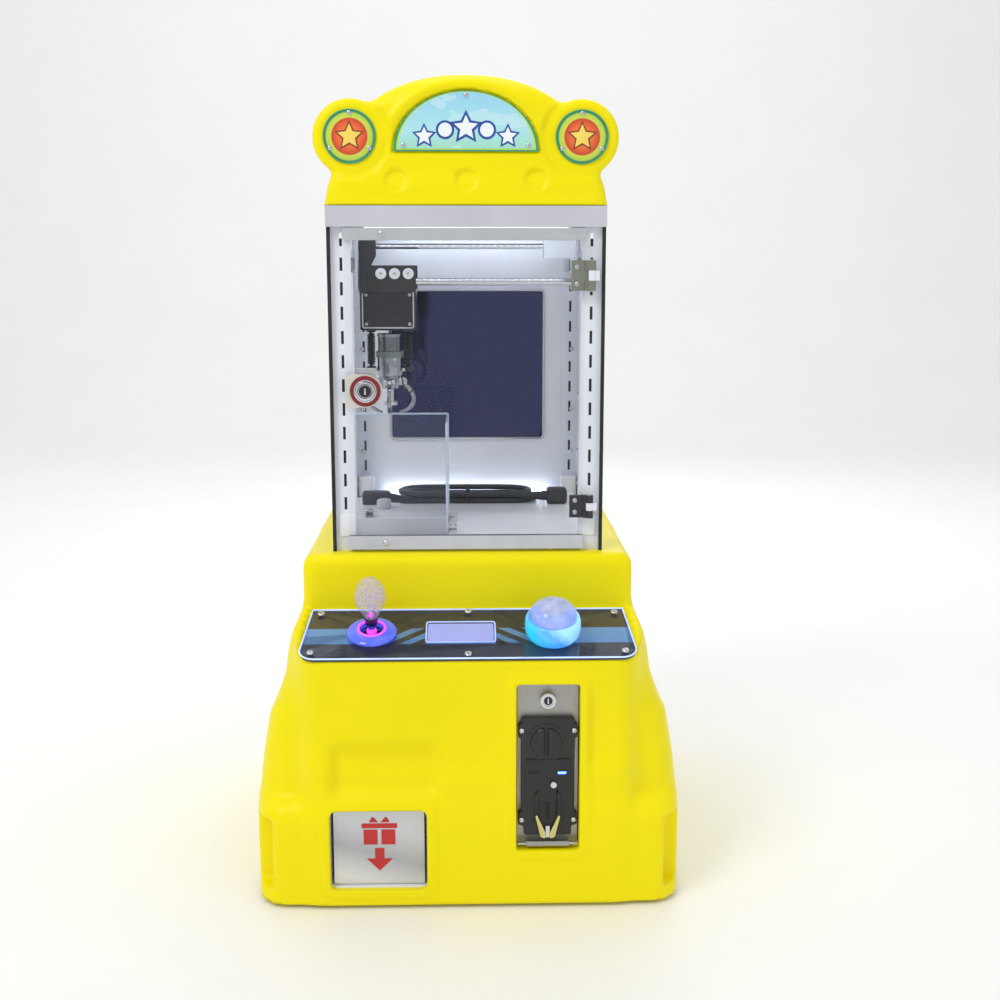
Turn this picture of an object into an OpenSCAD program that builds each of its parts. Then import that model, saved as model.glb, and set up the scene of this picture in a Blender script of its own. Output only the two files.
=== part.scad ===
// Tabletop claw crane machine: moulded base and topper, glass prize cabinet,
// two-axis gantry with hoist and three-finger claw, control deck, coin door.
// Frame: origin at the centre of the footprint on the floor, +Z up, front at -Y.

/* [Base] */
// Width of the moulded base over its side fenders
base_w = 460; // [450:1:470]
// Depth of the moulded base
base_d = 460; // [455:1:465]
// Width of the base above the fenders
shoulder_w = 364; // [360:1:370]
// Height of the base's top face
shoulder_z = 370; // [369:1:370]
// Wall thickness of the mouldings
wall = 5; // [4.5:0.5:5.5]
// Height of the rubber feet below the moulding
foot_gap = 4; // [3:0.5:5]

/* [Control deck] */
// Slope of the control deck, low edge at the front
deck_tilt = 18.6; // [17:0.2:20]
// Height of the deck's front edge
deck_z = 280.5; // [279:0.5:282]
// Width of the deck panel at its front edge
deck_front_w = 354; // [350:1:356]
// Width of the deck panel at its rear edge
deck_rear_w = 341; // [336:1:346]
// Diameter of the dome button
button_d = 60; // [58:1:62]
// Diameter of the joystick's knob
knob_d = 34; // [30:1:36]

/* [Prize cabinet] */
// Outer width of the glass cabinet
cab_w = 298; // [296:1:300]
// Height of the playfield floor
floor_z = 385; // [384:0.5:386]
// Height of the underside of the top frame
lintel_z = 722; // [720:1:724]
// Height of the top frame
lintel_h = 22; // [20:1:24]
// Height of the clear guard round the prize chute
guard_h = 125; // [100:1:126]

/* [Topper] */
// Overall height of the machine
total_h = 880; // [870:1:890]
// Diameter of the round ears
ear_d = 80; // [76:1:84]

/* [Gantry] */
// Diameter of the cross rods
rod_d = 8; // [7:0.5:9]
// Diameter of the claw's coil housing
coil_d = 29; // [27:0.5:30]

/* [Hidden] */
$fn = 48;
front_y = -base_d / 2;
rear_y = base_d / 2;
shoulder_y = -141;            // vertical face behind the deck
deck_len = 92;                // deck length along its slope
deck_stack = 5;               // printed panel and clear cover together
print_t = 2;                  // printed panel
fender_y = -205;              // front of the side fenders above the skirt
skirt_z = 118;                // top of the full-width skirt
skirt_r = 34;                 // plan radius of the skirt's corners
notch = [20, 40];             // width and depth of the hand recess at the lower corners
notch_z = [18, 98];           // height span of the hand recess
yellow = [1, 0.9, 0];

// Prize opening and chute
prize_x = [-148, -45];
prize_z = [22, 111];
flap_axis = [-220, 114.5];
flap_pin_r = 1.5;
chute_x = [-148, -25];
throat_x = -140;              // left side of the chute's narrow top
throat_z = 345;               // where the narrow top begins
chute_y = [-111, -8];
sheet = 2.5;
stick_x = -103;
stick_s = 45.4;
stick_pivot = -14;
button_x = 90;
button_s = 39;
display_x = -8;
display_s = 50;

// Coin door
coin_x = 84;
coin_w = 67;
coin_z = [66, 249];
coin_axis = [-225.5, 71];
coin_pin_r = 1.5;
coin_tunnel = 18;             // depth of the moulded recess behind the front face
lock_z = 229.5;

// Rear service door
rear_x = [-101, 107];
rear_z = [80, 290];
rear_axis = [102, 226.5];
rear_pin_r = 1.5;

// Glass cabinet
cab_x = cab_w / 2;
cab_y = [-119, 175];
post_x = 144;
post_y = [-116, 172];
post_leg = 34;
post_t = 2;
glass_t = 3;
door_x = [-131, 127];
door_y = [-124, -120];
door_z = [373, 721];
door_axis = [134, -129];
door_pin_r = 2;
guard_x = -23;
guard_y = -4;
mirror_x = 100;
mirror_z = [459, 652];

// Gantry and claw at the home corner
home_x = -87;
home_y = -56;
rod_z = 664;
rod_y = [-74, -38];
truck_x = 122;
rail_z = 676;
box_z = [611, 657];
box_w = 62;
box_dy = 52;
drum_z = 634;
drum_r = 8;                   // distance of the hoist cord from the drum's axis
coil_z = [557, 607];
finger_r = 15;                // distance of the finger pivots from the claw's axis
finger_pivot_z = 552;
fit = 0.05;                   // radial clearance of a running pin

// Box between two opposite corners
module span(a, b) {
    translate(a) cube(b - a);
}

// Round bar along X, Y or Z starting at p
module bar_x(p, r, len) {
    translate(p) rotate([0, 90, 0]) cylinder(r = r, h = len);
}
module bar_y(p, r, len) {
    translate(p) rotate([-90, 0, 0]) cylinder(r = r, h = len);
}
module bar_z(p, r, len) {
    translate(p) cylinder(r = r, h = len);
}

// Outline given as [y, z] points, extruded along X between two values
module side_plate(x, points) {
    translate([x[0], 0, 0]) rotate([90, 0, 90]) linear_extrude(x[1] - x[0]) polygon(points);
}

// Outline drawn as 2-D children in X and Z, extruded along Y between two values
module front_plate(y) {
    translate([0, y[1], 0]) rotate([90, 0, 0]) linear_extrude(y[1] - y[0]) children();
}

// Rounded rectangle between two opposite corners
module round_rect(a, b, r) {
    square_at([a[0] + r, a[1]], [b[0] - r, b[1]]);
    square_at([a[0], a[1] + r], [b[0], b[1] - r]);
    for (x = [a[0] + r, b[0] - r], y = [a[1] + r, b[1] - r])
        translate([x, y]) circle(r);
}
module square_at(a, b) {
    translate(a) square(b - a);
}

// Place children on the deck: x across, s up the slope, z normal to the deck
module on_deck(x, s) {
    translate([x, front_y, deck_z]) rotate([deck_tilt, 0, 0]) translate([0, s, 0]) children();
}

// ---- Moulded base ----

// Half widths of the fenders against height
fender_half = [
    [230, foot_gap], [230, 93], [230, 115], [228, 138], [225, 161], [221, 183],
    [217, 205], [206, 228], [199, 250], [196, 272], [192, 288], [186, 300], [180, 310]];

// Height of the moulding's front edge, under the deck panel
under_deck = deck_z - deck_stack / cos(deck_tilt) - 0.05;

// Side profile of the base body, drawn in by the inset
function body_side(inset) = [
    [front_y + inset, foot_gap - 1],
    [front_y + inset, under_deck - inset],
    [shoulder_y + inset, under_deck - inset + (shoulder_y - front_y) * tan(deck_tilt)],
    [shoulder_y + inset, shoulder_z - inset],
    [rear_y - inset, shoulder_z - inset],
    [rear_y - inset, foot_gap - 1]];

module base_solid(inset) {
    // centre body with rounded vertical corners
    intersection() {
        side_plate([-shoulder_w / 2 + inset, shoulder_w / 2 - inset], body_side(inset));
        linear_extrude(shoulder_z)
            round_rect([-shoulder_w / 2 + inset, front_y + inset],
                       [shoulder_w / 2 - inset, rear_y - inset], 22 - inset);
    }
    // side fenders, rounded in plan and cut down to the slope of the deck
    difference() {
        intersection() {
            front_plate([fender_y + inset, rear_y - inset]) polygon(concat(
                [for (p = fender_half) [p[0] - inset, p[1] - (p[1] > 300 ? inset : 0)]],
                [for (i = [len(fender_half) - 1 : -1 : 0])
                    [inset - fender_half[i][0],
                     fender_half[i][1] - (fender_half[i][1] > 300 ? inset : 0)]]));
            linear_extrude(shoulder_z)
                round_rect([-base_w / 2 + inset, fender_y + inset],
                           [base_w / 2 - inset, rear_y - inset], 32 - inset);
        }
        deck_air(inset);
    }
    // full-width skirt
    linear_extrude_at(foot_gap - 1, skirt_z - foot_gap + 1 - inset)
        round_rect([-base_w / 2 + inset, front_y + inset],
                   [base_w / 2 - inset, rear_y - inset], skirt_r - inset);
}

// Space above the slope of the deck, in front of the shoulder
module deck_air(inset) {
    low = under_deck - inset;
    side_plate([-base_w, base_w], [
        [front_y + inset, low],
        [shoulder_y + inset, low + (shoulder_y - front_y) * tan(deck_tilt)],
        [shoulder_y + inset, shoulder_z],
        [front_y + inset, shoulder_z]]);
}

module base_shell() {
    color(yellow) {
        difference() {
            base_solid(0);
            difference() {
                base_solid(wall);
                // inner flange that carries the base plate
                difference() {
                    span([-base_w, -base_d, 0], [base_w, base_d, foot_gap + wall]);
                    span([-165, -210, -1], [165, 210, foot_gap + wall + 1]);
                }
                // moulded surround of the coin door
                span([coin_x - coin_w / 2 - wall, front_y - 1, coin_z[0] - wall],
                     [coin_x + coin_w / 2 + wall, front_y + coin_tunnel, coin_z[1] + wall]);
            }
            span([-165, -210, 0], [165, 210, foot_gap + wall]);
            // hand recesses at the lower corners
            hand_recess(0);
            span([-base_w, -base_d, -1], [base_w, base_d, foot_gap]);
            prize_window();
            coin_window();
            rear_window();
            deck_holes(-wall - deck_stack - 4, -deck_stack + 4);
            // chute passage and power inlet
            span([throat_x - sheet - 0.3, chute_y[0] - sheet - 0.3, shoulder_z - wall - 1],
                 [chute_x[1] + sheet + 0.3, chute_y[1] + sheet + 0.3, shoulder_z + 1]);
            span([-174, rear_y - wall - 1, 28], [-126, rear_y + 1, 56]);
            span([-176.3, rear_y - 2.1, 25.7], [-123.7, rear_y + 1, 58.3]);
        }
        shell_lugs();
        recess_backs();
    }
}

// Recess at each lower front corner, grown by a wall thickness for its backing
module hand_recess(grow) {
    for (s = [0, 1]) mirror([s, 0, 0])
        span([base_w / 2 - notch[0] - grow, -base_d, notch_z[0] - grow],
             [base_w, front_y + notch[1] + grow, notch_z[1] + grow]);
}

// Walls behind the hand recesses
module recess_backs() {
    difference() {
        intersection() {
            base_solid(0);
            hand_recess(wall);
        }
        hand_recess(0);
    }
}

module prize_window() {
    front_plate([front_y - 1, front_y + wall + 1])
        round_rect([prize_x[0], prize_z[0]], [prize_x[1], prize_z[1]], 7);
}

module coin_window() {
    front_plate([front_y - 1, front_y + coin_tunnel + 1])
        round_rect([coin_x - coin_w / 2, coin_z[0]], [coin_x + coin_w / 2, coin_z[1]], 4);
}

module rear_window() {
    span([rear_x[0], rear_y - wall - 1, rear_z[0]], [rear_x[1], rear_y + 1, rear_z[1]]);
}

// Openings under the deck panel between two depths normal to the deck
module deck_holes(low, high) {
    on_deck(stick_x, stick_s) bar_z([0, 0, low], 18, high - low);
    on_deck(button_x, button_s) bar_z([0, 0, low], 8, high - low);
    on_deck(display_x, display_s) span([-38, -20, low], [38, 20, high]);
}

// Hinge lugs moulded inside the prize, coin and rear openings
module shell_lugs() {
    difference() {
        union() {
            for (x = [[prize_x[0] + 0.2, -145.5], [-47.5, prize_x[1] + 0.5]])
                span([x[0], front_y + wall - 1, flap_axis[1] - 3.5],
                     [x[1], flap_axis[0] + 3.5, flap_axis[1] + 4]);
            for (x = [[coin_x - 33.5, coin_x - 24], [coin_x + 24, coin_x + 33.5]])
                span([x[0], coin_axis[0] - 3.5, coin_z[0] - 1],
                     [x[1], coin_axis[0] + 3.5, coin_axis[1] + 3.5]);
            for (z = [110, 250])
                span([rear_axis[0] - 3.5, rear_axis[1] - 3, z - 6],
                     [rear_x[1] + 1, rear_axis[1] + 3, z + 6]);
        }
        bar_x([prize_x[0] - 5, flap_axis[0], flap_axis[1]], flap_pin_r, 120);
        bar_x([coin_x - 40, coin_axis[0], coin_axis[1]], coin_pin_r, 80);
        bar_z([rear_axis[0], rear_axis[1], 90], rear_pin_r, 180);
    }
}

module base_plate() {
    z = foot_gap + wall;
    color("silver") linear_extrude_at(z, 3)
        round_rect([-172, -218], [172, 218], 14);
}
module linear_extrude_at(z, h) {
    translate([0, 0, z]) linear_extrude(h) children();
}

module rubber_feet() {
    color([0.08, 0.08, 0.08])
        for (x = [-145, 145], y = [-190, 190]) {
            bar_z([x, y, 0], 16, foot_gap + 1);
            bar_z([x, y, foot_gap + 1], 12, wall - 1);
        }
}

// ---- Control deck ----

module deck_outline() {
    r = 16;
    front = deck_front_w / 2;
    rear = deck_rear_w / 2;
    polygon(concat(
        [for (a = [180 : 15 : 270]) [-front + r + r * cos(a), r + r * sin(a)]],
        [for (a = [270 : 15 : 360]) [front - r + r * cos(a), r + r * sin(a)]],
        [[rear, deck_len], [-rear, deck_len]]));
}

module deck_panel() {
    color([0.16, 0.15, 0.17]) difference() {
        on_deck(0, 0) translate([0, 0, -deck_stack]) linear_extrude(print_t) deck_outline();
        on_deck(stick_x, stick_s) bar_z([0, 0, -6], 13, 6);
        on_deck(button_x, button_s) bar_z([0, 0, -6], 8, 6);
        on_deck(display_x, display_s) span([-35.5, -17, -6], [35.5, 17, 0]);
    }
}

module deck_cover() {
    color([0.7, 0.8, 1, 0.35]) difference() {
        on_deck(0, 0) translate([0, 0, print_t - deck_stack])
            linear_extrude(deck_stack - print_t) deck_outline();
        on_deck(stick_x, stick_s) bar_z([0, 0, -6], 13, 7);
        on_deck(button_x, button_s) bar_z([0, 0, -6], 8, 7);
    }
}

// Screw heads on the deck, the badges and the marquee
screw_s = [10, deck_len - 9];
module cover_screws() {
    color("silver") {
        for (x = [-1, 1]) {
            on_deck(x * (deck_front_w / 2 - 12), screw_s[0]) bar_z([0, 0, 0], 4, 1.6);
            on_deck(x * (deck_rear_w / 2 - 10), screw_s[1]) bar_z([0, 0, 0], 4, 1.6);
        }
        for (s = [6, screw_s[1] + 3]) on_deck(0, s) bar_z([0, 0, 0], 4, 1.6);
        for (x = [-ear_x, ear_x], a = [90, 210, 330])
            bar_y([x + 24 * cos(a), ear_y - 3.6, ear_z + 24 * sin(a)], 2.6, 1.6);
        for (p = [[-66, 6], [0, 57], [66, 6]])
            bar_y([p[0], sign_y - 1.5, sign_z + p[1]], 2.6, 1.5);
    }
}

module display_module() {
    color([0.45, 0.48, 0.85]) on_deck(display_x, display_s) {
        span([-35, -16.5, -deck_stack], [35, 16.5, print_t - deck_stack - 0.2]);
        span([-37.5, -19.5, -22], [37.5, 19.5, -deck_stack]);
    }
}

module joystick_collar() {
    color([0.25, 0.3, 0.9, 0.6]) on_deck(stick_x, stick_s) rotate_extrude()
        polygon([[13, 0], [26.5, 0], [26.5, 2], [23, 4.5], [16, 6], [13, 6]]);
}

module joystick_housing() {
    top = -deck_stack - wall - 1.7;
    color([0.1, 0.1, 0.1]) on_deck(stick_x, stick_s) difference() {
        span([-26, -26, -52], [26, 26, top]);
        span([-22, -22, -48], [22, 22, top + 1]);
        bar_x([-27, 0, stick_pivot], 2.05, 54);
    }
}

// Bowl of the button, with a free bore for the plunger's stem
module button_bezel() {
    color([0.1, 0.65, 0.9, 0.75]) on_deck(button_x, button_s) rotate_extrude() polygon([
        [6.4, 0], [26, 0], [29, 6], [button_d / 2, 14], [29, 22], [26.5, 24], [25.4, 24],
        [25.4, 3], [6.4, 3]]);
}

module button_switch() {
    color([0.12, 0.12, 0.12]) on_deck(button_x, button_s) difference() {
        union() {
            bar_z([0, 0, -32], 12, 20.3);
            span([-10, -14, -46], [10, 14, -32]);
        }
        bar_z([0, 0, -28], 6.4, 30);
    }
}

// ---- Prize and coin paths ----

module prize_chute() {
    inner = [
        [chute_y[0], shoulder_z + 1], [chute_y[1], shoulder_z + 1], [chute_y[1], 175],
        [-150, 26], [front_y, 24], [front_y, 121], [chute_y[0], 252]];
    outer = [
        [chute_y[0] - sheet, shoulder_z], [chute_y[1] + sheet, shoulder_z],
        [chute_y[1] + sheet, 174], [-149, 23], [front_y + wall, 21.5],
        [front_y + wall, 123], [chute_y[0] - sheet, 253]];
    color("white") difference() {
        side_plate([chute_x[0] - sheet, chute_x[1] + sheet], outer);
        difference() {
            side_plate(chute_x, inner);
            span([chute_x[0] - 1, front_y, throat_z], [throat_x, 0, floor_z + 1]);
        }
        span([chute_x[0] - sheet - 1, front_y, throat_z + sheet],
             [throat_x - sheet, 0, floor_z]);
    }
}

module hinge_pins() {
    color("silver") {
        bar_x([prize_x[0] + 0.3, flap_axis[0], flap_axis[1]], flap_pin_r,
              prize_x[1] - prize_x[0] - 0.3);
        bar_x([coin_x - 32, coin_axis[0], coin_axis[1]], coin_pin_r, 64);
        for (z = [103, 243]) bar_z([rear_axis[0], rear_axis[1], z - 12], rear_pin_r, 32);
        for (h = door_hinges)
            bar_z([door_axis[0], door_axis[1], h[0] - 1], door_pin_r, h[1] - h[0] + 2);
    }
}

module coin_tray() {
    color([0.2, 0.2, 0.22]) difference() {
        span([42, -212, 12], [126, -104, 60]);
        span([44, -210, 14], [124, -106, 61]);
    }
}

module power_supply() {
    color("silver") {
        span([0, 40, 12], [98, 169, 50]);
        span([6, 26, 12], [92, 40, 26]);
    }
}

module control_board() {
    color([0.05, 0.35, 0.15]) {
        span([-140, 40, 20], [-30, 170, 21.6]);
        span([-120, 60, 21.6], [-96, 84, 25]);
        span([-80, 50, 21.6], [-60, 62, 33]);
        span([-136, 150, 21.6], [-40, 164, 31]);
    }
    color("silver") for (x = [-134, -36], y = [46, 144])
        bar_z([x, y, 12], 3, 8);
}

module power_inlet() {
    color([0.06, 0.06, 0.06]) difference() {
        union() {
            span([-173.5, 196, 28.5], [-126.5, rear_y - 2, 55.5]);
            span([-176, rear_y - 2, 26], [-124, rear_y, 58]);
        }
        span([-171, 208, 33], [-147, rear_y + 1, 51]);
        span([-141, 212, 32], [-129, rear_y + 1, 52]);
    }
    color([0.06, 0.06, 0.06]) for (x = [-165.5, -159, -152.5])
        span([x - 1, 207, 41], [x + 1, 222, 45]);
    color("silver") bar_x([-141.5, 219, 42], 1.5, 13);
}

module power_rocker() {
    color([0.75, 0.1, 0.08]) difference() {
        side_plate([-140.6, -129.4], [
            [214, 38], [221, 34], [227, 35], [227, 42], [223.8, 50.5], [214, 46]]);
        bar_x([-145, 219, 42], 1.55, 20);
    }
}

// ---- Prize cabinet ----

post_edge = cab_x - glass_t;      // outer face of the posts
post_face = 22;                   // leg across the front or rear
slot_count = 12;
slot_pitch = 26;

module playfield_floor() {
    x = post_edge - post_t;
    y = [post_y[0] + post_t, post_y[1] - post_t];
    color("white") difference() {
        span([-x, y[0], shoulder_z], [x, y[1], floor_z]);
        // hollow underneath, with a collar round the chute's throat
        difference() {
            span([-x + 3, y[0] + 2, shoulder_z - 1], [x - 3, y[1] - 3, floor_z - 4]);
            span([throat_x - sheet, chute_y[0] - sheet, shoulder_z - 2],
                 [chute_x[1] + sheet, chute_y[1] + sheet, floor_z]);
        }
        span([throat_x, chute_y[0], shoulder_z - 1], [chute_x[1], chute_y[1], floor_z + 1]);
    }
}

module prize_guard() {
    color([0.85, 0.93, 1, 0.3]) {
        span([guard_x - 1.5, post_y[0] + post_t, floor_z],
             [guard_x + 1.5, guard_y, floor_z + guard_h]);
        span([post_t - post_edge, guard_y, floor_z],
             [guard_x + 1.5, guard_y + 3, floor_z + guard_h]);
    }
}

// Slotted angle post at the +X, -Y corner of its own square, legs inward
module angle_post(x, y, dy) {
    difference() {
        union() {
            span([x - post_t, min(y, y + dy * post_leg), shoulder_z],
                 [x, max(y, y + dy * post_leg), lintel_z]);
            span([x - post_face, min(y, y + dy * post_t), shoulder_z],
                 [x, max(y, y + dy * post_t), lintel_z]);
        }
        for (i = [0 : slot_count - 1])
            post_slots(x, y, dy, shoulder_z + 40 + i * slot_pitch);
    }
}
module post_slots(x, y, dy, z) {
    span([x - post_t - 1, y + dy * post_leg / 2 - 1.5, z],
         [x + 1, y + dy * post_leg / 2 + 1.5, z + 14]);
    span([x - 13, y - 3, z + 6], [x - 10, y + 3, z + 20]);
}

door_hinges = [[408, 433], [655, 687]];
function middle(h) = [h[0] + (h[1] - h[0]) / 3, h[1] - (h[1] - h[0]) / 3];

module corner_posts() {
    color("whitesmoke") {
        for (s = [0, 1]) mirror([s, 0, 0]) {
            angle_post(post_edge, post_y[0], 1);
            angle_post(post_edge, post_y[1], -1);
        }
        // fixed leaves of the front door's hinges
        for (h = door_hinges) difference() {
            union() {
                bar_z([door_axis[0], door_axis[1], middle(h)[0]], 4, middle(h)[1] - middle(h)[0]);
                span([door_axis[0], door_axis[1] - 2, middle(h)[0]],
                     [post_edge - 4, door_axis[1] + 2, middle(h)[1]]);
                span([post_edge - 8, door_axis[1] - 2, middle(h)[0]],
                     [post_edge - 4, post_y[0], middle(h)[1]]);
            }
            bar_z([door_axis[0], door_axis[1], h[0]], door_pin_r, h[1] - h[0]);
        }
    }
}

module side_glass() {
    color([0.85, 0.93, 1, 0.25]) for (s = [0, 1]) mirror([s, 0, 0])
        span([post_edge, cab_y[0], shoulder_z], [cab_x, cab_y[1], lintel_z]);
}

module edge_seals() {
    color([0.05, 0.05, 0.05]) for (s = [0, 1]) mirror([s, 0, 0])
        span([post_edge - 0.8, cab_y[0] - 3, shoulder_z], [cab_x, cab_y[0], lintel_z]);
}

module rear_wall() {
    color("whitesmoke") span([-post_edge, post_y[1], shoulder_z],
                             [post_edge, cab_y[1], lintel_z]);
}

module rear_mirror() {
    color([0.08, 0.1, 0.16])
        front_plate([post_y[1] - 2.5, post_y[1]])
            round_rect([-mirror_x, mirror_z[0]], [mirror_x, mirror_z[1]], 4);
}

module top_frame() {
    color([0.8, 0.81, 0.84]) difference() {
        span([-cab_x - 0.5, cab_y[0] - 7, lintel_z],
             [cab_x + 0.5, cab_y[1] + 3, lintel_z + lintel_h]);
        span([-cab_x + 3, cab_y[0] - 4, lintel_z + 3],
             [cab_x - 3, cab_y[1], lintel_z + lintel_h + 1]);
    }
}

module led_strips() {
    color([0.9, 0.95, 1]) {
        for (y = [-104, 146])
            span([-110, y, lintel_z - 3], [110, y + 10, lintel_z]);
        span([-110, 160, floor_z], [110, 168, floor_z + 4]);
    }
}

// ---- Front door ----

module door_glass() {
    color([0.85, 0.93, 1, 0.25]) difference() {
        span([door_x[0], door_y[0], door_z[0] + 3], [door_x[1], door_y[1], door_z[1] - 3]);
        bar_y([-110, door_y[0] - 1, 548], 9.5, 6);
    }
}

module door_rails() {
    color([0.72, 0.74, 0.76]) for (z = [[door_z[0], door_z[0] + 15], [708, door_z[1]]])
        difference() {
            span([door_x[0], door_y[0] - 2, z[0]], [door_x[1], door_y[1] + 2, z[1]]);
            span([door_x[0] - 1, door_y[0], door_z[0] + 3],
                 [door_x[1] + 1, door_y[1], door_z[1] - 3]);
        }
}

// Hinge leaves on the glass, and the lock's D-shaped plate
module door_fittings() {
    color([0.45, 0.46, 0.42]) {
        for (h = door_hinges) difference() {
            union() {
                span([112, door_y[0] - 3, h[0]], [door_x[1] + 3, door_y[0], h[1]]);
                for (z = [[h[0], middle(h)[0] - 0.3], [middle(h)[1] + 0.3, h[1]]]) {
                    bar_z([door_axis[0], door_axis[1], z[0]], 4, z[1] - z[0]);
                    span([door_x[1], door_axis[1] - 1, z[0]],
                         [door_axis[0], door_y[0], z[1]]);
                }
            }
            bar_z([door_axis[0], door_axis[1], h[0] - 1], door_pin_r + fit, h[1] - h[0] + 2);
        }
    }
    color([0.78, 0.77, 0.7]) difference() {
        front_plate([door_y[0] - 3, door_y[0]]) {
            square_at([-131, 530], [-110, 566]);
            translate([-110, 548]) circle(18);
        }
        bar_y([-110, door_y[0] - 5, 548], 9.5, 8);
    }
}

module door_lock_barrel() {
    color("silver") {
        bar_y([-110, door_y[0] - 9, 548], 11, 6);
        bar_y([-110, door_y[0] - 3, 548], 9.5 - fit, 13.6);
        span([-116, door_y[0] + 10.6, 542], [-104, door_y[0] + 13, 572]);
    }
}

// ---- Gantry ----

module side_rails() {
    y = [post_y[0] + post_t, post_y[1] - post_t];
    color("silver") for (s = [0, 1]) mirror([s, 0, 0]) {
        span([post_edge - post_t - 3, y[0], rail_z - 2], [post_edge - post_t, y[1], rail_z + 24]);
        span([126, y[0], rail_z - 2], [post_edge - post_t - 3, y[1], rail_z]);
    }
}

roller_z = rail_z + 7.3;
module bridge_frame() {
    color([0.12, 0.12, 0.13]) for (s = [0, 1]) mirror([s, 0, 0])
        difference() {
            union() {
                span([truck_x - 3, home_y - 35, 655], [truck_x, home_y + 35, 712]);
                for (y = [home_y - 24, home_y + 24]) bar_x([truck_x, y, roller_z], 2, 11);
            }
            for (y = rod_y) bar_x([truck_x - 4, y, rod_z], rod_d / 2, 5);
            bar_x([truck_x - 4, home_y, 703], 3, 5);
        }
    // travel motor
    color([0.12, 0.12, 0.13]) difference() {
        span([86, home_y - 12, 690], [truck_x - 3, home_y + 12, 716]);
        bar_x([85, home_y, 703], 3, 40);
    }
}

module bridge_rods() {
    color([0.75, 0.76, 0.78]) {
        for (y = rod_y) bar_x([-truck_x, y, rod_z], rod_d / 2, 2 * truck_x);
        bar_x([-truck_x, home_y, 703], 3, 2 * truck_x);
    }
}

module bridge_rollers() {
    color("white") for (x = [-truck_x - 10, truck_x + 1], y = [home_y - 24, home_y + 24])
        difference() {
            bar_x([x, y, roller_z], 7, 9);
            bar_x([x - 1, y, roller_z], 2, 11);
        }
}

module carriage_frame() {
    x = [home_x - box_w / 2, home_x + box_w / 2];
    y = [home_y - box_dy / 2, home_y + box_dy / 2];
    color([0.1, 0.1, 0.11]) difference() {
        union() {
            for (dx = [6, box_w - 20])
                span([x[0] + dx, y[0], box_z[1]], [x[0] + dx + 14, y[1], 674]);
            span([x[0], y[0] - 2, box_z[1] - 4], [x[1], y[0], 682]);
            span([x[0], y[1], box_z[1] - 4], [x[1], y[1] + 2, 682]);
            // angled bracket on the left of the carriage
            front_plate([y[0] - 4, y[0] - 2]) polygon([
                [x[0], 652], [x[0] + 7, 652], [x[0] + 8, 672], [x[0] + 19, 692],
                [x[0] + 19, 710], [x[0], 710]]);
        }
        for (ry = rod_y) bar_x([x[0] - 1, ry, rod_z], rod_d / 2 + fit, box_w + 2);
    }
}

module carriage_box() {
    x = [home_x - box_w / 2, home_x + box_w / 2];
    y = [home_y - box_dy / 2, home_y + box_dy / 2];
    color([0.04, 0.04, 0.04]) difference() {
        span([x[0], y[0], box_z[0]], [x[1], y[1], box_z[1]]);
        span([x[0] + 2.5, y[0] + 2.5, box_z[0] + 2.5], [x[1] - 2.5, y[1] - 2.5, box_z[1] - 2.5]);
        bar_z([home_x, home_y, box_z[0] - 1], 5, 5);
        bar_x([x[0] - 1, home_y + drum_r, drum_z], 3 + fit, box_w + 2);
    }
}

// White guide wheels on the front plate
module carriage_rollers() {
    y = home_y - box_dy / 2 - 2;
    color("white") for (dx = [24, 39, 54])
        bar_y([home_x - box_w / 2 + dx, y - 4, 673], 6, 4);
}

module winch_drum() {
    y = home_y + drum_r;
    color([0.3, 0.3, 0.32]) {
        bar_x([home_x - box_w / 2, y, drum_z], 3, box_w);
        bar_x([home_x - 12, y, drum_z], drum_r - 1, 24);
        for (x = [home_x - 14, home_x + 12]) bar_x([x, y, drum_z], drum_r + 3, 2);
    }
}

cable_dx = 21;
cable_z = 568;
module hoist_lines() {
    color([0.03, 0.03, 0.03]) {
        bar_z([home_x, home_y, coil_z[1]], 1, drum_z - coil_z[1]);
        for (s = [-1, 1])
            bar_z([home_x + s * cable_dx, home_y, cable_z], 5, box_z[0] - cable_z);
    }
}

module claw_body() {
    color("silver") translate([home_x, home_y, 0]) difference() {
        union() {
            bar_z([0, 0, coil_z[0]], coil_d / 2, coil_z[1] - coil_z[0]);
            bar_z([0, 0, 580], coil_d / 2 + 1.2, 7);
            bar_z([0, 0, 545], 10, coil_z[0] - 545);
            for (s = [-1, 1])
                span([s * cable_dx - 5, -4, cable_z - 4], [s * cable_dx + 5, 4, cable_z]);
            span([-cable_dx, -3, cable_z - 4], [cable_dx, 3, cable_z]);
            for (i = [0 : 2]) rotate(i * 120 - 90) {
                for (y = [-5.8, 2.8]) span([8, y, 548.5], [18.5, y + 3, coil_z[0]]);
                bar_y([finger_r, -5.8, finger_pivot_z], 1.2, 11.6);
            }
        }
        bar_z([0, 0, 540], 4 + fit, 52);
    }
}

// Curved strip in the radial plane, pivoted at its top
module claw_finger(i) {
    color([0.85, 0.86, 0.88]) translate([home_x, home_y, 0]) rotate(i * 120 - 90)
        difference() {
            union() {
                translate([0, 2, 0]) rotate([90, 0, 0]) linear_extrude(4) polygon([
                    [13.5, 551], [26, 544], [31, 536], [31.5, 529], [27, 522], [19, 517.5],
                    [12, 516], [12, 518.3], [18, 520.2], [24.5, 524], [28, 530], [27.6, 535],
                    [23.5, 541], [15, 547.5]]);
                bar_y([finger_r, -2.5, finger_pivot_z], 3.3, 5);
            }
            bar_y([finger_r, -3, finger_pivot_z], 1.2 + fit, 6);
        }
}
module claw_finger_1() { claw_finger(0); }
module claw_finger_2() { claw_finger(1); }
module claw_finger_3() { claw_finger(2); }

module claw_plunger() {
    color([0.6, 0.6, 0.62]) {
        bar_z([home_x, home_y, 528], 4, 50);
        bar_z([home_x, home_y, 526], 8, 4);
    }
}

// ---- Joystick and button ----

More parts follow.
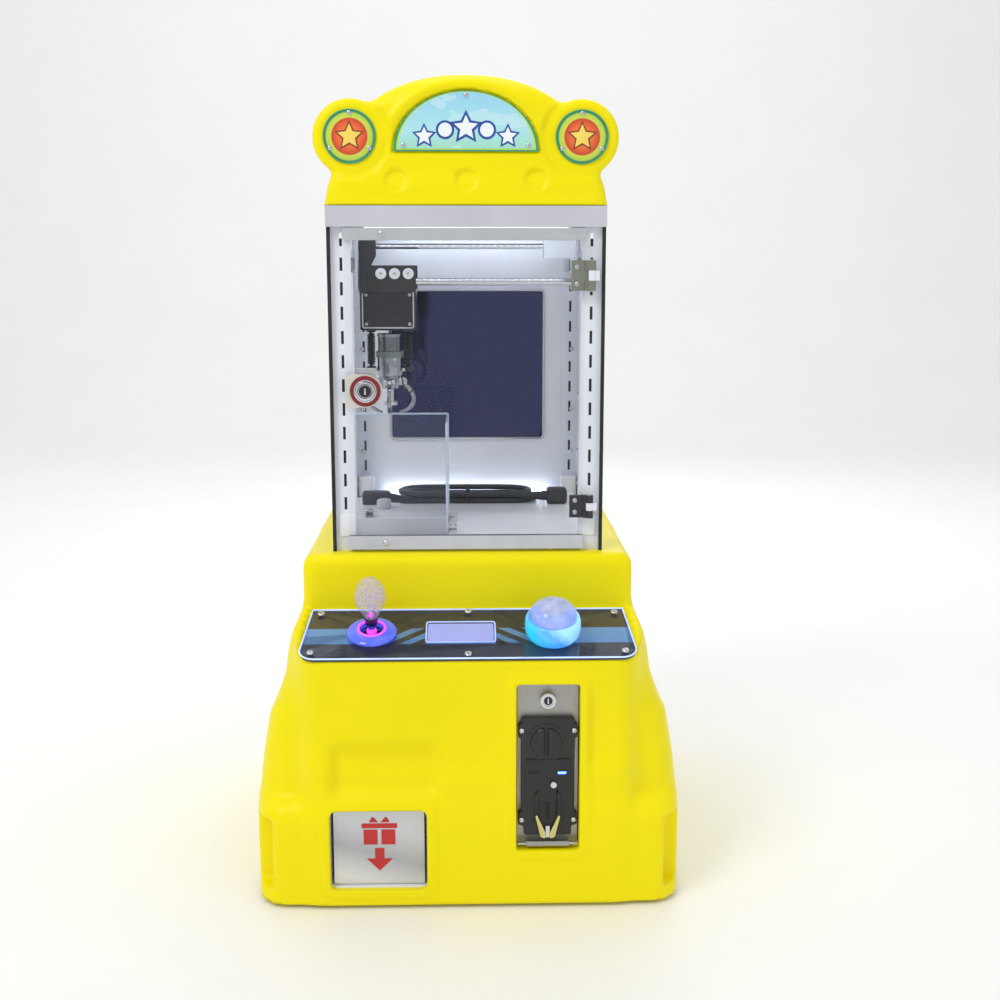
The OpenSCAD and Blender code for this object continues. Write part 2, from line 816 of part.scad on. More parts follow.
module joystick_gimbal() {
    color("silver") on_deck(stick_x, stick_s) difference() {
        union() {
            span([-12, -11, stick_pivot - 3.5], [12, 11, stick_pivot + 3.5]);
            bar_x([-25.5, 0, stick_pivot], 2, 51);
        }
        span([-8.5, -7.5, stick_pivot - 4], [8.5, 7.5, stick_pivot + 4]);
        bar_y([0, -12, stick_pivot], 1.5 + fit, 24);
    }
}

module joystick_shaft() {
    color("silver") on_deck(stick_x, stick_s) {
        bar_z([0, 0, -40], 4, 54);
        bar_z([0, 0, -40], 6, 8);
        bar_y([0, -10.8, stick_pivot], 1.5, 21.6);
    }
}

module joystick_knob() {
    r = knob_d / 2;
    color([0.9, 0.9, 1, 0.5]) on_deck(stick_x, stick_s) rotate_extrude() polygon(concat(
        [[0, 14], [7, 14], [8, 20], [10.5, 27]],
        [for (a = [-30 : 10 : 90]) [r * cos(a), 45 + (a < 0 ? 20 : 24) * sin(a)]]));
}

module drop_button() {
    color([0.85, 0.75, 1, 0.8]) on_deck(button_x, button_s) {
        rotate_extrude() polygon(concat(
            [[0, 8], [25, 8], [25, 26]],
            [for (a = [10 : 10 : 90]) [25 * cos(a), 26 + 17 * sin(a)]]));
        bar_z([0, 0, -24], 6, 32);
    }
}

// ---- Coin door ----

module coin_door() {
    x = [coin_x - coin_w / 2 + 1, coin_x + coin_w / 2 - 1];
    color([0.62, 0.63, 0.65]) difference() {
        union() {
            span([x[0], -216, coin_z[0] + 2], [x[1], -214, coin_z[1] - 2]);
            span([coin_x - 23, coin_axis[0], coin_axis[1] - 1.5],
                 [coin_x + 23, -215, coin_axis[1] + 1.5]);
            bar_x([coin_x - 23, coin_axis[0], coin_axis[1]], 3.5, 46);
        }
        bar_x([coin_x - 24, coin_axis[0], coin_axis[1]], coin_pin_r + fit, 48);
        span([coin_x - 25, -217, 92], [coin_x + 25, -213, 200]);
        bar_y([coin_x, -217, lock_z], 6.5 + fit, 4);
    }
}

module coin_faceplate() {
    color([0.05, 0.05, 0.06]) difference() {
        union() {
            front_plate([-225, -216])
                round_rect([coin_x - 31.5, 80], [coin_x + 31.5, 211], 5);
            // raised coin entry and rails
            bar_y([coin_x - 2, -228, 184], 17, 3);
            span([coin_x - 12, -228, 90], [coin_x - 9, -225, 134]);
            span([coin_x + 9, -228, 90], [coin_x + 12, -225, 134]);
            // chrome return chute
            span([coin_x - 12, -229, 84], [coin_x + 12, -225, 90]);
        }
        span([coin_x - 3.5, -229, 171], [coin_x - 0.5, -215, 198]);
        span([coin_x - 22, -226, 149], [coin_x - 7, -222, 153]);
        span([coin_x - 2, -226, 96], [coin_x + 2, -215, 128]);
        bar_y([coin_x + 6, -226, 138], 4 + fit, 12);
    }
    color("silver") for (x = [-26, 26], z = [86, 205])
        bar_y([coin_x + x, -226.5, z], 3, 1.5);
}

module coin_mech() {
    color([0.1, 0.1, 0.1]) {
        span([coin_x - 27, -214, 84], [coin_x + 27, -166, 206]);
        span([coin_x - 20, -166, 110], [coin_x + 20, -162, 180]);
    }
}

module coin_reject_button() {
    color("silver") bar_y([coin_x + 6, -227.5, 138], 4, 8.5);
}

module coin_lock_barrel() {
    color("silver") {
        bar_y([coin_x, -224, lock_z], 9, 8);
        bar_y([coin_x, -216, lock_z], 6.5, 9);
        span([coin_x - 24, -210, lock_z - 5], [coin_x + 6, -207.5, lock_z + 5]);
    }
}

module prize_flap() {
    x = [-145, -48];
    color([0.75, 0.76, 0.8, 0.8]) difference() {
        union() {
            span([x[0], flap_axis[0] - 1.5, prize_z[0] + 3],
                 [x[1], flap_axis[0] + 1.5, flap_axis[1]]);
            bar_x([x[0], flap_axis[0], flap_axis[1]], 3.2, x[1] - x[0]);
        }
        bar_x([x[0] - 1, flap_axis[0], flap_axis[1]], flap_pin_r + fit, x[1] - x[0] + 2);
    }
}

module rear_door() {
    color([0.3, 0.3, 0.32]) difference() {
        union() {
            span([rear_x[0] + 2, 225.5, rear_z[0] + 2], [rear_x[1] - 10, 228.5, rear_z[1] - 2]);
            for (z = [[92, 103.6], [116.4, 122], [232, 243.6], [256.4, 262]]) {
                bar_z([rear_axis[0], rear_axis[1], z[0]], 3, z[1] - z[0]);
                span([rear_x[1] - 11, 225.5, z[0]], [rear_axis[0], 228.5, z[1]]);
            }
            bar_y([-84, 228, 185], 9, 2);
            for (z = [150 : 10 : 220]) span([-40, 228, z], [40, 229, z + 3]);
        }
        bar_z([rear_axis[0], rear_axis[1], 90], rear_pin_r + fit, 180);
    }
}

// ---- Topper ----

head_y = [-120, 100];
ear_x = 122.5;
ear_z = 815;
ear_y = -118;
sign_y = -121;
sign_z = 800;
sign_r = [77, 62];
topper_z = lintel_z + lintel_h;
waist_z = topper_z + 26;
dimple_x = 74;

// Superellipse arch from the waist to the crown
function arch(a, h, n) = [for (t = [0 : 7.5 : 180])
    [a * sign(cos(t)) * pow(abs(cos(t)), 2 / n), waist_z + h * pow(sin(t), 2 / n)]];

module head_outline(inset) {
    polygon(arch(140 - inset, total_h - waist_z - inset, 2.2));
    polygon([[-148 + inset, topper_z - 1], [148 - inset, topper_z - 1],
             [140 - inset, waist_z + 1], [inset - 140, waist_z + 1]]);
}

module topper_solid(inset) {
    front_plate([head_y[0] + inset, head_y[1] - inset]) head_outline(inset);
    // low rear deck of the hood
    side_plate([-146 + inset, 146 - inset], [
        [head_y[0] + inset, topper_z - 1], [head_y[0] + inset, waist_z - inset],
        [head_y[1], waist_z + 20 - inset], [165 - inset, waist_z - inset],
        [175 - inset, topper_z - 1]]);
    for (x = [-ear_x, ear_x])
        bar_y([x, ear_y + inset, ear_z], ear_d / 2 - inset, 60 - 2 * inset);
}

module topper_shell() {
    color(yellow) difference() {
        topper_solid(0);
        topper_solid(wall);
        span([-160, -200, topper_z - 2], [160, 200, topper_z]);
        // recesses of the marquee, the badges and the three dimples
        front_plate([head_y[0] - 1, sign_y + 3]) half_moon(0.3);
        for (x = [-ear_x, ear_x]) bar_y([x, head_y[0] - 1, ear_z], 28.3, ear_y - head_y[0] + 1);
        for (x = [-dimple_x, 0, dimple_x])
            translate([x, head_y[0] - 30, waist_z]) sphere(r = 33);
    }
}

module half_moon(grow) {
    polygon([for (t = [0 : 7.5 : 180])
        [(sign_r[0] + grow) * cos(t), sign_z - grow + (sign_r[1] + 2 * grow) * sin(t)]]);
}

// Printed marquee and the two ear badges
module sign_panels() {
    color([0.55, 0.85, 0.8]) front_plate([sign_y, sign_y + 3]) half_moon(0);
    color([0.95, 0.35, 0.1]) for (x = [-ear_x, ear_x])
        bar_y([x, ear_y - 2, ear_z], 28, 2);
}

// ---- Mains lead stored on the playfield ----

hank_y = 125;
hank_l = 180;
hank_w = 70;
hank_h = 14;
module lead_hank() {
    color([0.03, 0.03, 0.03]) translate([0, hank_y, floor_z]) linear_extrude(hank_h) {
        square([hank_l - hank_w, hank_w], center = true);
        for (s = [-1, 1]) translate([s * (hank_l - hank_w) / 2, 0]) circle(hank_w / 2);
    }
}

module lead_ends() {
    color([0.04, 0.04, 0.04]) {
        // connector with its strain relief
        span([-133, 84, floor_z], [-100, 104, floor_z + 16]);
        translate([-100.5, 94, floor_z + 6]) rotate([0, 90, 0]) cylinder(r1 = 6, r2 = 4.2, h = 30);
        // plug with its strain relief
        span([100, 83, floor_z], [126, 105, floor_z + 20]);
        translate([100.5, 94, floor_z + 10]) rotate([0, -90, 0]) cylinder(r1 = 6.5, r2 = 4.2, h = 30);
        for (y = [87, 101]) bar_x([126, y, floor_z + 10], 2, 9);
    }
}

base_shell();
base_plate();
rubber_feet();
deck_panel();
deck_cover();
cover_screws();
display_module();
joystick_collar();
joystick_housing();
button_bezel();
button_switch();
prize_chute();
hinge_pins();
coin_tray();
playfield_floor();
prize_guard();
corner_posts();
side_glass();
edge_seals();
rear_wall();
rear_mirror();
top_frame();
led_strips();
side_rails();
topper_shell();
sign_panels();
power_inlet();
power_supply();
control_board();
lead_hank();
lead_ends();
door_glass();
door_rails();
door_fittings();
door_lock_barrel();
bridge_frame();
bridge_rods();
bridge_rollers();
carriage_frame();
carriage_box();
carriage_rollers();
winch_drum();
hoist_lines();
claw_body();
claw_finger_1();
claw_finger_2();
claw_finger_3();
claw_plunger();
joystick_gimbal();
joystick_shaft();
joystick_knob();
drop_button();
coin_door();
coin_faceplate();
coin_mech();
coin_reject_button();
coin_lock_barrel();
prize_flap();
rear_door();
power_rocker();
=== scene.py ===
import math

import bmesh
import bpy
import numpy as np
from mathutils import Matrix, Vector


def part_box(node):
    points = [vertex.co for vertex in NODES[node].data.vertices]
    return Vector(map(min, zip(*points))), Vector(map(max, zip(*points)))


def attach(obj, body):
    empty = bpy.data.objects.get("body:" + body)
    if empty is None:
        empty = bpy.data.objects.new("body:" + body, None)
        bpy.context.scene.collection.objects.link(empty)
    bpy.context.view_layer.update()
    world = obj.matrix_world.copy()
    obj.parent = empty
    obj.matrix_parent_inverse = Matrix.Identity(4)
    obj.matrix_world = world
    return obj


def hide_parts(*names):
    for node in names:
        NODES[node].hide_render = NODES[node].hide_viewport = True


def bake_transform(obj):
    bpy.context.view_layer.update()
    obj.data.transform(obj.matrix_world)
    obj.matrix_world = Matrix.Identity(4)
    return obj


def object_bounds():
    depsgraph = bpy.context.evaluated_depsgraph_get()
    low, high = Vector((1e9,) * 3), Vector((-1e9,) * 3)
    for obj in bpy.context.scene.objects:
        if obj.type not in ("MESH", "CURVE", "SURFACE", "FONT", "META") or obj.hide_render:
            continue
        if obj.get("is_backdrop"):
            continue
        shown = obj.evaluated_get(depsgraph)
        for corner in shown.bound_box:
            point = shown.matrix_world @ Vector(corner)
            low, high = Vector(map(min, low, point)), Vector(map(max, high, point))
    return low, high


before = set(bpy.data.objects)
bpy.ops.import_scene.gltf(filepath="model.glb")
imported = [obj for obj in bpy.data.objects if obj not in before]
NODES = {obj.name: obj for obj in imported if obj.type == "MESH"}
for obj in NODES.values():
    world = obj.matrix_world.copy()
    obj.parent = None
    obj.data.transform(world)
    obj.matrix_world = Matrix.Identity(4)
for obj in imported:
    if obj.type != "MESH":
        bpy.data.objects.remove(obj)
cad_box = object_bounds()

MM = 0.001
rng = np.random.default_rng(7)


def lo_hi(node):
    """Corners of a CAD node's box in millimetres."""
    low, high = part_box(node)
    return np.array(low) / MM, np.array(high) / MM


# ------------------------------------------------------------------ camera, floor and light

CAMERA_Y = -1.522
CAMERA_Z = 0.674
camera_data = bpy.data.cameras.new("camera")
camera_data.lens = 46.4
camera_data.sensor_width = 36.0
camera = bpy.data.objects.new("camera", camera_data)
camera.location = (0.0, CAMERA_Y, CAMERA_Z)
camera.rotation_euler = (math.radians(80.0), 0.0, math.radians(-1.46))
bpy.context.scene.collection.objects.link(camera)
bpy.context.scene.camera = camera
bpy.context.scene.view_settings.view_transform = "Standard"


# Area lights: name, place, target, size in metres and power in watts
MACHINE = (0, 0, 0.4)
LIGHTS = (("key", (-1.5, -1.7, 2.6), MACHINE, 1.0, 27),
          ("fill", (1.9, -1.8, 1.3), MACHINE, 1.4, 4),
          ("top", (0.0, 0.3, 2.6), MACHINE, 1.6, 9),
          ("rim", (0.6, 2.4, 1.8), MACHINE, 1.2, 8),
          ("backdrop", (0.0, 1.6, 3.2), (0, 4.8, 1.0), 2.4, 30))
for name, place, target, size, power in LIGHTS:
    data = bpy.data.lights.new(name, "AREA")
    data.shape = "SQUARE"
    data.size = size
    data.energy = power
    light = bpy.data.objects.new(name, data)
    light.location = place
    light.rotation_euler = (Vector(target) - Vector(place)).to_track_quat("-Z", "Y").to_euler()
    bpy.context.scene.collection.objects.link(light)
world = bpy.data.worlds.new("studio")
world.use_nodes = True
sky_light = world.node_tree.nodes["Background"].inputs
sky_light["Color"].default_value = (1, 1, 1, 1)
sky_light["Strength"].default_value = 0.70
bpy.context.scene.world = world

# Floor that sweeps up into a backdrop behind the machine
SWEEP_Y, SWEEP_R, SWEEP_TOP = 3.4, 1.4, 4.5
floor_mesh = bpy.data.meshes.new("studio_floor")
sweep = [(-4.0, 0.0), (SWEEP_Y, 0.0)]
sweep += [(SWEEP_Y + SWEEP_R * math.sin(a), SWEEP_R - SWEEP_R * math.cos(a))
          for a in np.linspace(0.1, math.pi / 2, 16)]
sweep.append((SWEEP_Y + SWEEP_R, SWEEP_TOP))
corners = [(x, y, z) for y, z in sweep for x in (-6, 6)]
strips = [(k, k + 1, k + 3, k + 2) for k in range(0, len(corners) - 2, 2)]
floor_mesh.from_pydata(corners, [], strips)
floor_mesh.shade_smooth()
floor = bpy.data.objects.new("studio_floor", floor_mesh)
bpy.context.scene.collection.objects.link(floor)
floor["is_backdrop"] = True

# ------------------------------------------------------------------ materials


class Shader:
    """Small builder for one node material around a Principled shader."""

    def __init__(self, name, color, rough, metallic=0.0, **sockets):
        self.material = bpy.data.materials.new(name)
        self.material.use_nodes = True
        self.tree = self.material.node_tree
        self.bsdf = self.tree.nodes["Principled BSDF"]
        self.bsdf.inputs["Base Color"].default_value = (*color, 1)
        self.bsdf.inputs["Roughness"].default_value = rough
        self.bsdf.inputs["Metallic"].default_value = metallic
        for key, value in sockets.items():
            self.bsdf.inputs[key.replace("_", " ")].default_value = value
        self.coords = self.tree.nodes.new("ShaderNodeTexCoord").outputs["Object"]
        self.height = None

    def node(self, kind, **inputs):
        made = self.tree.nodes.new(kind)
        for key, value in inputs.items():
            socket = made.inputs[key.replace("_", " ")]
            if isinstance(value, bpy.types.NodeSocket):
                self.tree.links.new(value, socket)
            else:
                socket.default_value = value
        return made

    def xyz(self):
        return self.node("ShaderNodeSeparateXYZ", Vector=self.coords).outputs

    def below(self, value, limit):
        return self.math("LESS_THAN", value, limit)

    def noise(self, scale, detail=3.0, stretch=None):
        vector = self.coords
        if stretch:
            vector = self.node("ShaderNodeMapping", Vector=vector, Scale=stretch).outputs[0]
        return self.node("ShaderNodeTexNoise", Vector=vector, Scale=scale, Detail=detail).outputs["Fac"]

    def ramp(self, factor, stops):
        made = self.node("ShaderNodeValToRGB", Fac=factor)
        while len(made.color_ramp.elements) < len(stops):
            made.color_ramp.elements.new(0.5)
        for element, (place, color) in zip(made.color_ramp.elements, stops):
            element.position = place
            element.color = (*color, 1) if len(color) == 3 else color
        return made.outputs["Color"]

    def math(self, operation, a, b=0.0, c=0.0):
        made = self.tree.nodes.new("ShaderNodeMath")
        made.operation = operation
        for socket, value in zip(made.inputs, (a, b, c)):
            if isinstance(value, bpy.types.NodeSocket):
                self.tree.links.new(value, socket)
            else:
                socket.default_value = value
        return made.outputs[0]

    def mix(self, factor, a, b):
        made = self.tree.nodes.new("ShaderNodeMix")
        made.data_type = "RGBA"
        for socket, value in ((made.inputs[0], factor), (made.inputs[6], a), (made.inputs[7], b)):
            if isinstance(value, bpy.types.NodeSocket):
                self.tree.links.new(value, socket)
            else:
                socket.default_value = (*value, 1) if isinstance(value, tuple) else value
        return made.outputs[2]

    def color(self, socket):
        self.tree.links.new(socket, self.bsdf.inputs["Base Color"])

    def vary(self, color, amount, scale, detail=3.0):
        """Lighter and darker patches round a colour."""
        low = tuple(c * (1 - amount) for c in color)
        high = tuple(min(1.0, c * (1 + amount)) for c in color)
        self.color(self.ramp(self.noise(scale, detail), [(0.3, low), (0.7, high)]))
        return self

    def rough(self, low, high, scale, stretch=None):
        value = self.node("ShaderNodeMapRange", Value=self.noise(scale, 4.0, stretch), From_Min=0.3,
                          From_Max=0.7, To_Min=low, To_Max=high)
        self.tree.links.new(value.outputs[0], self.bsdf.inputs["Roughness"])
        return self

    def bump(self, height, distance, strength=0.5):
        made = self.node("ShaderNodeBump", Height=height, Distance=distance, Strength=strength)
        if self.height is not None:
            self.tree.links.new(self.height, made.inputs["Normal"])
        self.height = made.outputs[0]
        self.tree.links.new(self.height, self.bsdf.inputs["Normal"])
        return self

    def glow(self, color, strength):
        self.bsdf.inputs["Emission Color"].default_value = (*color, 1)
        self.bsdf.inputs["Emission Strength"].default_value = strength
        return self


def plastic(name, color, rough=0.35, amount=0.05, grain=900.0, depth=0.00005):
    s = Shader(name, color, rough).vary(color, amount, 14.0)
    s.rough(rough * 0.85, rough * 1.15, 30.0)
    return s.bump(s.noise(grain), depth, 0.35)


def metal(name, color, rough=0.25, brushed=None, amount=0.05):
    s = Shader(name, color, rough, 1.0).vary(color, amount, 40.0)
    s.rough(rough * 0.8, rough * 1.3, 60.0, brushed)
    if brushed:
        s.bump(s.noise(400.0, 2.0, brushed), 0.00004, 0.3)
    return s


def clear(name, color, rough=0.02, tint=0.9):
    """Thin clear sheet: mostly see-through, with gloss at its faces."""
    s = Shader(name, color, rough, IOR=1.45)
    s.bsdf.inputs["Alpha"].default_value = 1 - tint
    s.rough(rough, rough * 2.5, 6.0)
    s.bsdf.inputs["Specular IOR Level"].default_value = 0.6
    return s


YELLOW = (0.93, 0.80, 0.0)
M = {}
shader = Shader("yellow_moulding", YELLOW, 0.34, Specular_IOR_Level=0.18)
shader.vary(YELLOW, 0.02, 5.0)
shader.rough(0.30, 0.40, 22.0)
shader.bump(shader.noise(260.0, 2.0), 0.00012, 0.25)
shader.bump(shader.noise(9.0, 2.0), 0.002, 0.12)
M["yellow"] = shader.material
# Each row: the material's name, colour, roughness, colour spread, then the grain's scale and depth
PLASTICS = {
    "black": ("black_plastic", (0.018, 0.018, 0.02), 0.42, 0.3),
    "black_gloss": ("black_gloss", (0.012, 0.012, 0.014), 0.12, 0.3, 900.0, 0.00001),
    "white_plastic": ("white_plastic", (0.82, 0.84, 0.87), 0.35, 0.03),
    "white_paint": ("white_paint", (0.80, 0.83, 0.90), 0.32, 0.03, 1400.0),
    "playfield": ("playfield_white", (0.86, 0.88, 0.93), 0.22, 0.02, 500.0),
    "grey_paint": ("grey_paint", (0.56, 0.57, 0.62), 0.38, 0.04, 1200.0),
    "black_paint": ("black_paint", (0.02, 0.02, 0.022), 0.4, 0.3, 1600.0, 0.00008),
    "rubber": ("rubber", (0.015, 0.015, 0.015), 0.7, 0.3, 700.0, 0.0001),
    "cord": ("cord_sheath", (0.012, 0.012, 0.014), 0.38, 0.3, 1200.0, 0.00006),
    "red": ("red_plastic", (0.55, 0.02, 0.02), 0.2, 0.1),
    "dark_red": ("dark_red", (0.22, 0.01, 0.02), 0.25, 0.15),
    "board": ("board_green", (0.02, 0.20, 0.08), 0.3, 0.2, 300.0),
}
# Each row: the material's name, colour, roughness and the stretch of its brushing
METALS = {
    "chrome": ("chrome", (0.66, 0.67, 0.70), 0.08),
    "claw_metal": ("claw_metal", (0.34, 0.35, 0.38), 0.14),
    "return_metal": ("return_metal", (0.66, 0.60, 0.24), 0.14),
    "steel": ("brushed_steel", (0.58, 0.59, 0.62), 0.3, (1.0, 1.0, 14.0)),
    "coin_steel": ("coin_plate", (0.42, 0.41, 0.39), 0.42, (14.0, 1.0, 1.0)),
    "aluminium": ("aluminium", (0.62, 0.64, 0.67), 0.34, (1.0, 14.0, 14.0)),
    "zinc": ("zinc_plate", (0.55, 0.56, 0.58), 0.4),
}
M.update({key: plastic(*row).material for key, row in PLASTICS.items()})
M.update({key: metal(*row).material for key, row in METALS.items()})
M["glass"] = clear("clear_glass", (0.20, 0.24, 0.28), 0.012, 0.965).material
M["acrylic"] = clear("clear_acrylic", (0.30, 0.36, 0.48), 0.02, 0.94).material
# Painted light: the guard's clear edges get a faint blue-white glow of their own, though they are no lamp,
# for the light the acrylic edges catch.
M["edge"] = clear("acrylic_edge_painted_glow", (0.60, 0.70, 0.85), 0.1, 0.4).glow((0.7, 0.8, 1.0), 0.12).material
floor_shader = Shader("studio_floor", (0.93, 0.93, 0.93), 0.6).vary((0.93, 0.93, 0.93), 0.01, 3.0)
floor_mesh.materials.append(floor_shader.material)
M["led"] = Shader("led_board", (0.9, 0.93, 1.0), 0.4).glow((0.80, 0.86, 1.0), 3.0).material
M["led_dot"] = Shader("led_dot", (1, 1, 1), 0.4).glow((0.85, 0.92, 1.0), 14.0).material


# ------------------------------------------------------------------ mesh helpers


def link(name, mesh, material, body, smooth=True):
    """Make a piece of a mesh, with a material from M, and let it ride a body."""
    piece = bpy.data.objects.new(name, mesh)
    bpy.context.scene.collection.objects.link(piece)
    mesh.materials.append(M[material])
    if smooth:
        mesh.shade_smooth()
    if body:
        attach(piece, body)
    return piece


def mesh_piece(name, points_mm, faces, material, body, smooth=True):
    mesh = bpy.data.meshes.new(name)
    points = np.asarray(points_mm, float) * MM
    mesh.from_pydata([tuple(p) for p in points], [], faces)
    mesh.update()
    return link(name, mesh, material, body, smooth)


def sharp_by_angle(mesh, degrees=35.0):
    """Smooth shading with hard edges where faces meet steeply."""
    mesh.shade_smooth()
    mesh.set_sharp_from_angle(angle=math.radians(degrees))


def from_bmesh(name, bm, material, body, place=None, bevel=0.0, segments=3, angle=35.0):
    """Finish a bmesh drawn in millimetres as a piece, with rounded edges."""
    bmesh.ops.recalc_face_normals(bm, faces=bm.faces)
    if bevel:
        edges = [e for e in bm.edges if len(e.link_faces) == 2
                 and e.calc_face_angle(0) > math.radians(30)]
        bmesh.ops.bevel(bm, geom=edges, offset=bevel, segments=segments, profile=0.5,
                        affect="EDGES", clamp_overlap=True)
    bmesh.ops.scale(bm, vec=(MM, MM, MM), verts=bm.verts)
    mesh = bpy.data.meshes.new(name)
    bm.to_mesh(mesh)
    bm.free()
    if place is not None:
        mesh.transform(place)
    piece = link(name, mesh, material, body, False)
    sharp_by_angle(mesh, angle)
    return piece


def rounded_box(name, low, high, radius, material, body, place=None, segments=3):
    bm = bmesh.new()
    bmesh.ops.create_cube(bm, size=1.0)
    low, high = Vector(low), Vector(high)
    for v in bm.verts:
        v.co = Vector([low[i] + (v.co[i] + 0.5) * (high[i] - low[i]) for i in range(3)])
    return from_bmesh(name, bm, material, body, place, radius, segments)


def prism(name, outline, bottom, top, material, body, place=None, bevel=0.4, segments=2):
    """Outline of (x, y) points raised from bottom to top along Z, edges rounded."""
    bm = bmesh.new()
    low = [bm.verts.new((x, y, bottom)) for x, y in outline]
    high = [bm.verts.new((x, y, top)) for x, y in outline]
    bm.faces.new(list(reversed(low)))
    bm.faces.new(high)
    count = len(outline)
    for i in range(count):
        j = (i + 1) % count
        bm.faces.new((low[i], low[j], high[j], high[i]))
    return from_bmesh(name, bm, material, body, place, bevel, segments)


def lathe(name, profile, material, body, place=None, steps=64, angle=40.0):
    """Solid of revolution about Z from (radius, height) points in millimetres."""
    bm = bmesh.new()
    rings = []
    for r, z in profile:
        if r < 1e-6:
            rings.append([bm.verts.new((0, 0, z))])
        else:
            rings.append([bm.verts.new((r * math.cos(2 * math.pi * k / steps),
                                        r * math.sin(2 * math.pi * k / steps), z))
                          for k in range(steps)])
    pairs = list(zip(rings, rings[1:]))
    if len(rings[0]) > 1 and len(rings[-1]) > 1:
        pairs.append((rings[-1], rings[0]))
    for a, b in pairs:
        for k in range(steps):
            n = (k + 1) % steps
            loop = [a[k % len(a)], a[n % len(a)], b[n % len(b)], b[k % len(b)]]
            loop = list(dict.fromkeys(loop))
            if len(loop) > 2:
                bm.faces.new(loop)
    return from_bmesh(name, bm, material, body, place, 0.0, 1, angle)


def arc(cx, cy, r, start, end, steps=8):
    return [(cx + r * math.cos(math.radians(start + (end - start) * k / steps)),
             cy + r * math.sin(math.radians(start + (end - start) * k / steps)))
            for k in range(steps + 1)]


def round_outline(x0, y0, x1, y1, r, steps=6):
    return (arc(x1 - r, y0 + r, r, -90, 0, steps) + arc(x1 - r, y1 - r, r, 0, 90, steps)
            + arc(x0 + r, y1 - r, r, 90, 180, steps) + arc(x0 + r, y0 + r, r, 180, 270, steps))


def tube(name, path, radius, material, body, sides=12):
    """Swept round bar along points in millimetres."""
    points = [Vector(p) for p in path]
    rings, normal = [], None
    verts, faces = [], []
    for i, p in enumerate(points):
        tangent = (points[min(i + 1, len(points) - 1)] - points[max(i - 1, 0)]).normalized()
        if normal is None:
            normal = tangent.orthogonal().normalized()
        normal = (normal - tangent * normal.dot(tangent)).normalized()
        side = tangent.cross(normal)
        rings.append(len(verts))
        for k in range(sides):
            a = 2 * math.pi * k / sides
            verts.append(tuple(p + normal * (radius * math.cos(a)) + side * (radius * math.sin(a))))
    for a, b in zip(rings, rings[1:]):
        for k in range(sides):
            n = (k + 1) % sides
            faces.append((a + k, a + n, b + n, b + k))
    faces.append(tuple(rings[0] + k for k in reversed(range(sides))))
    faces.append(tuple(rings[-1] + k for k in range(sides)))
    return mesh_piece(name, verts, faces, material, body)


def up_place(x, y, z=0.0):
    """Placement in millimetres, without a turn."""
    return Matrix.Translation(Vector((x, y, z)) * MM)


def axis_place(point_mm, direction):
    """Placement whose local Z runs along a direction from a point."""
    turn = Vector(direction).normalized().to_track_quat("Z", "Y").to_matrix().to_4x4()
    return Matrix.Translation(Vector(point_mm) * MM) @ turn


def paint(node, key):
    """Give a CAD node its material."""
    piece = NODES[node]
    piece.data.materials.clear()
    piece.data.materials.append(M[key])


# ------------------------------------------------------------------ mains lead bundled on the playfield

LEAD_D = 7.0
PITCH = LEAD_D + 0.35
hank_lo, hank_hi = lo_hi("lead_hank")
ends_lo, ends_hi = lo_hi("lead_ends")
FLOOR_Z = hank_lo[2]
HANK_Y = (hank_lo[1] + hank_hi[1]) / 2
HANK_R = (hank_hi[1] - hank_lo[1]) / 2 - LEAD_D / 2      # radius of the outer turn's end loops
HANK_X = (hank_hi[0] - hank_lo[0]) / 2 - LEAD_D / 2 - HANK_R
LOW = FLOOR_Z + LEAD_D / 2 + 0.1                         # centreline of a turn on the floor


def racetrack(s, shrink, z):
    """Point at a share s of one turn, from the front run's left end, going right."""
    r = HANK_R - shrink
    straight, bend = 2 * HANK_X, math.pi * r
    d = s * (2 * straight + 2 * bend)
    if d < straight:
        return (-HANK_X + d, HANK_Y - r, z)
    d -= straight
    if d < bend:
        a = d / r - math.pi / 2
        return (HANK_X + r * math.cos(a), HANK_Y + r * math.sin(a), z)
    d -= bend
    if d < straight:
        return (HANK_X - d, HANK_Y + r, z)
    a = (d - straight) / r + math.pi / 2
    return (-HANK_X + r * math.cos(a), HANK_Y + r * math.sin(a), z)


def smooth_step(t):
    t = min(1.0, max(0.0, t))
    return t * t * (3 - 2 * t)


# The first two turns lie side by side on the floor and the third lies on top of them.
TURN_STEPS = 48
lead_path = [(-HANK_X - d, HANK_Y - HANK_R, LOW) for d in (20.0, 15.0, 10.0, 5.0)]
for turn in range(3):
    for k in range(TURN_STEPS):
        s = k / TURN_STEPS
        inward = (smooth_step((s - 0.8) / 0.2), 1.0, 1 - smooth_step((s - 0.35) / 0.25))[turn]
        climb = (0.0, smooth_step((s - 0.62) / 0.38), 1.0)[turn]
        lead_path.append(racetrack(s, PITCH * inward, LOW + PITCH * climb))
run_end = HANK_X + 22.0
for k in range(13):
    x = -HANK_X + (run_end + HANK_X) * k / 12
    drop = smooth_step((x - HANK_X) / (run_end - HANK_X)) * 1.5
    lead_path.append((x, HANK_Y - HANK_R, LOW + PITCH - drop))
lead = tube("mains_lead", lead_path, LEAD_D / 2, "cord", "cabinet", 12)
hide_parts("lead_hank", "lead_ends")
lead_y = HANK_Y - HANK_R


def strain_relief(name, tip, root, r_tip, r_root):
    """Ribbed cone that guards the cord where it enters a plug."""
    length = math.dist(tip, root)
    profile = [(r_tip - 0.6, 0.0), (r_tip, 0.4)]
    for k in range(1, 12):
        t = k / 12
        r = r_tip + (r_root - r_tip) * t
        profile.append((r - (0.7 if k % 2 else 0.0), length * t))
    profile += [(r_root, length), (0.0, length)]
    profile = [(0.0, 0.0)] + profile
    place = axis_place(tip, Vector(root) - Vector(tip))
    return lathe(name, profile, "cord", "cabinet", place, 24, 50)


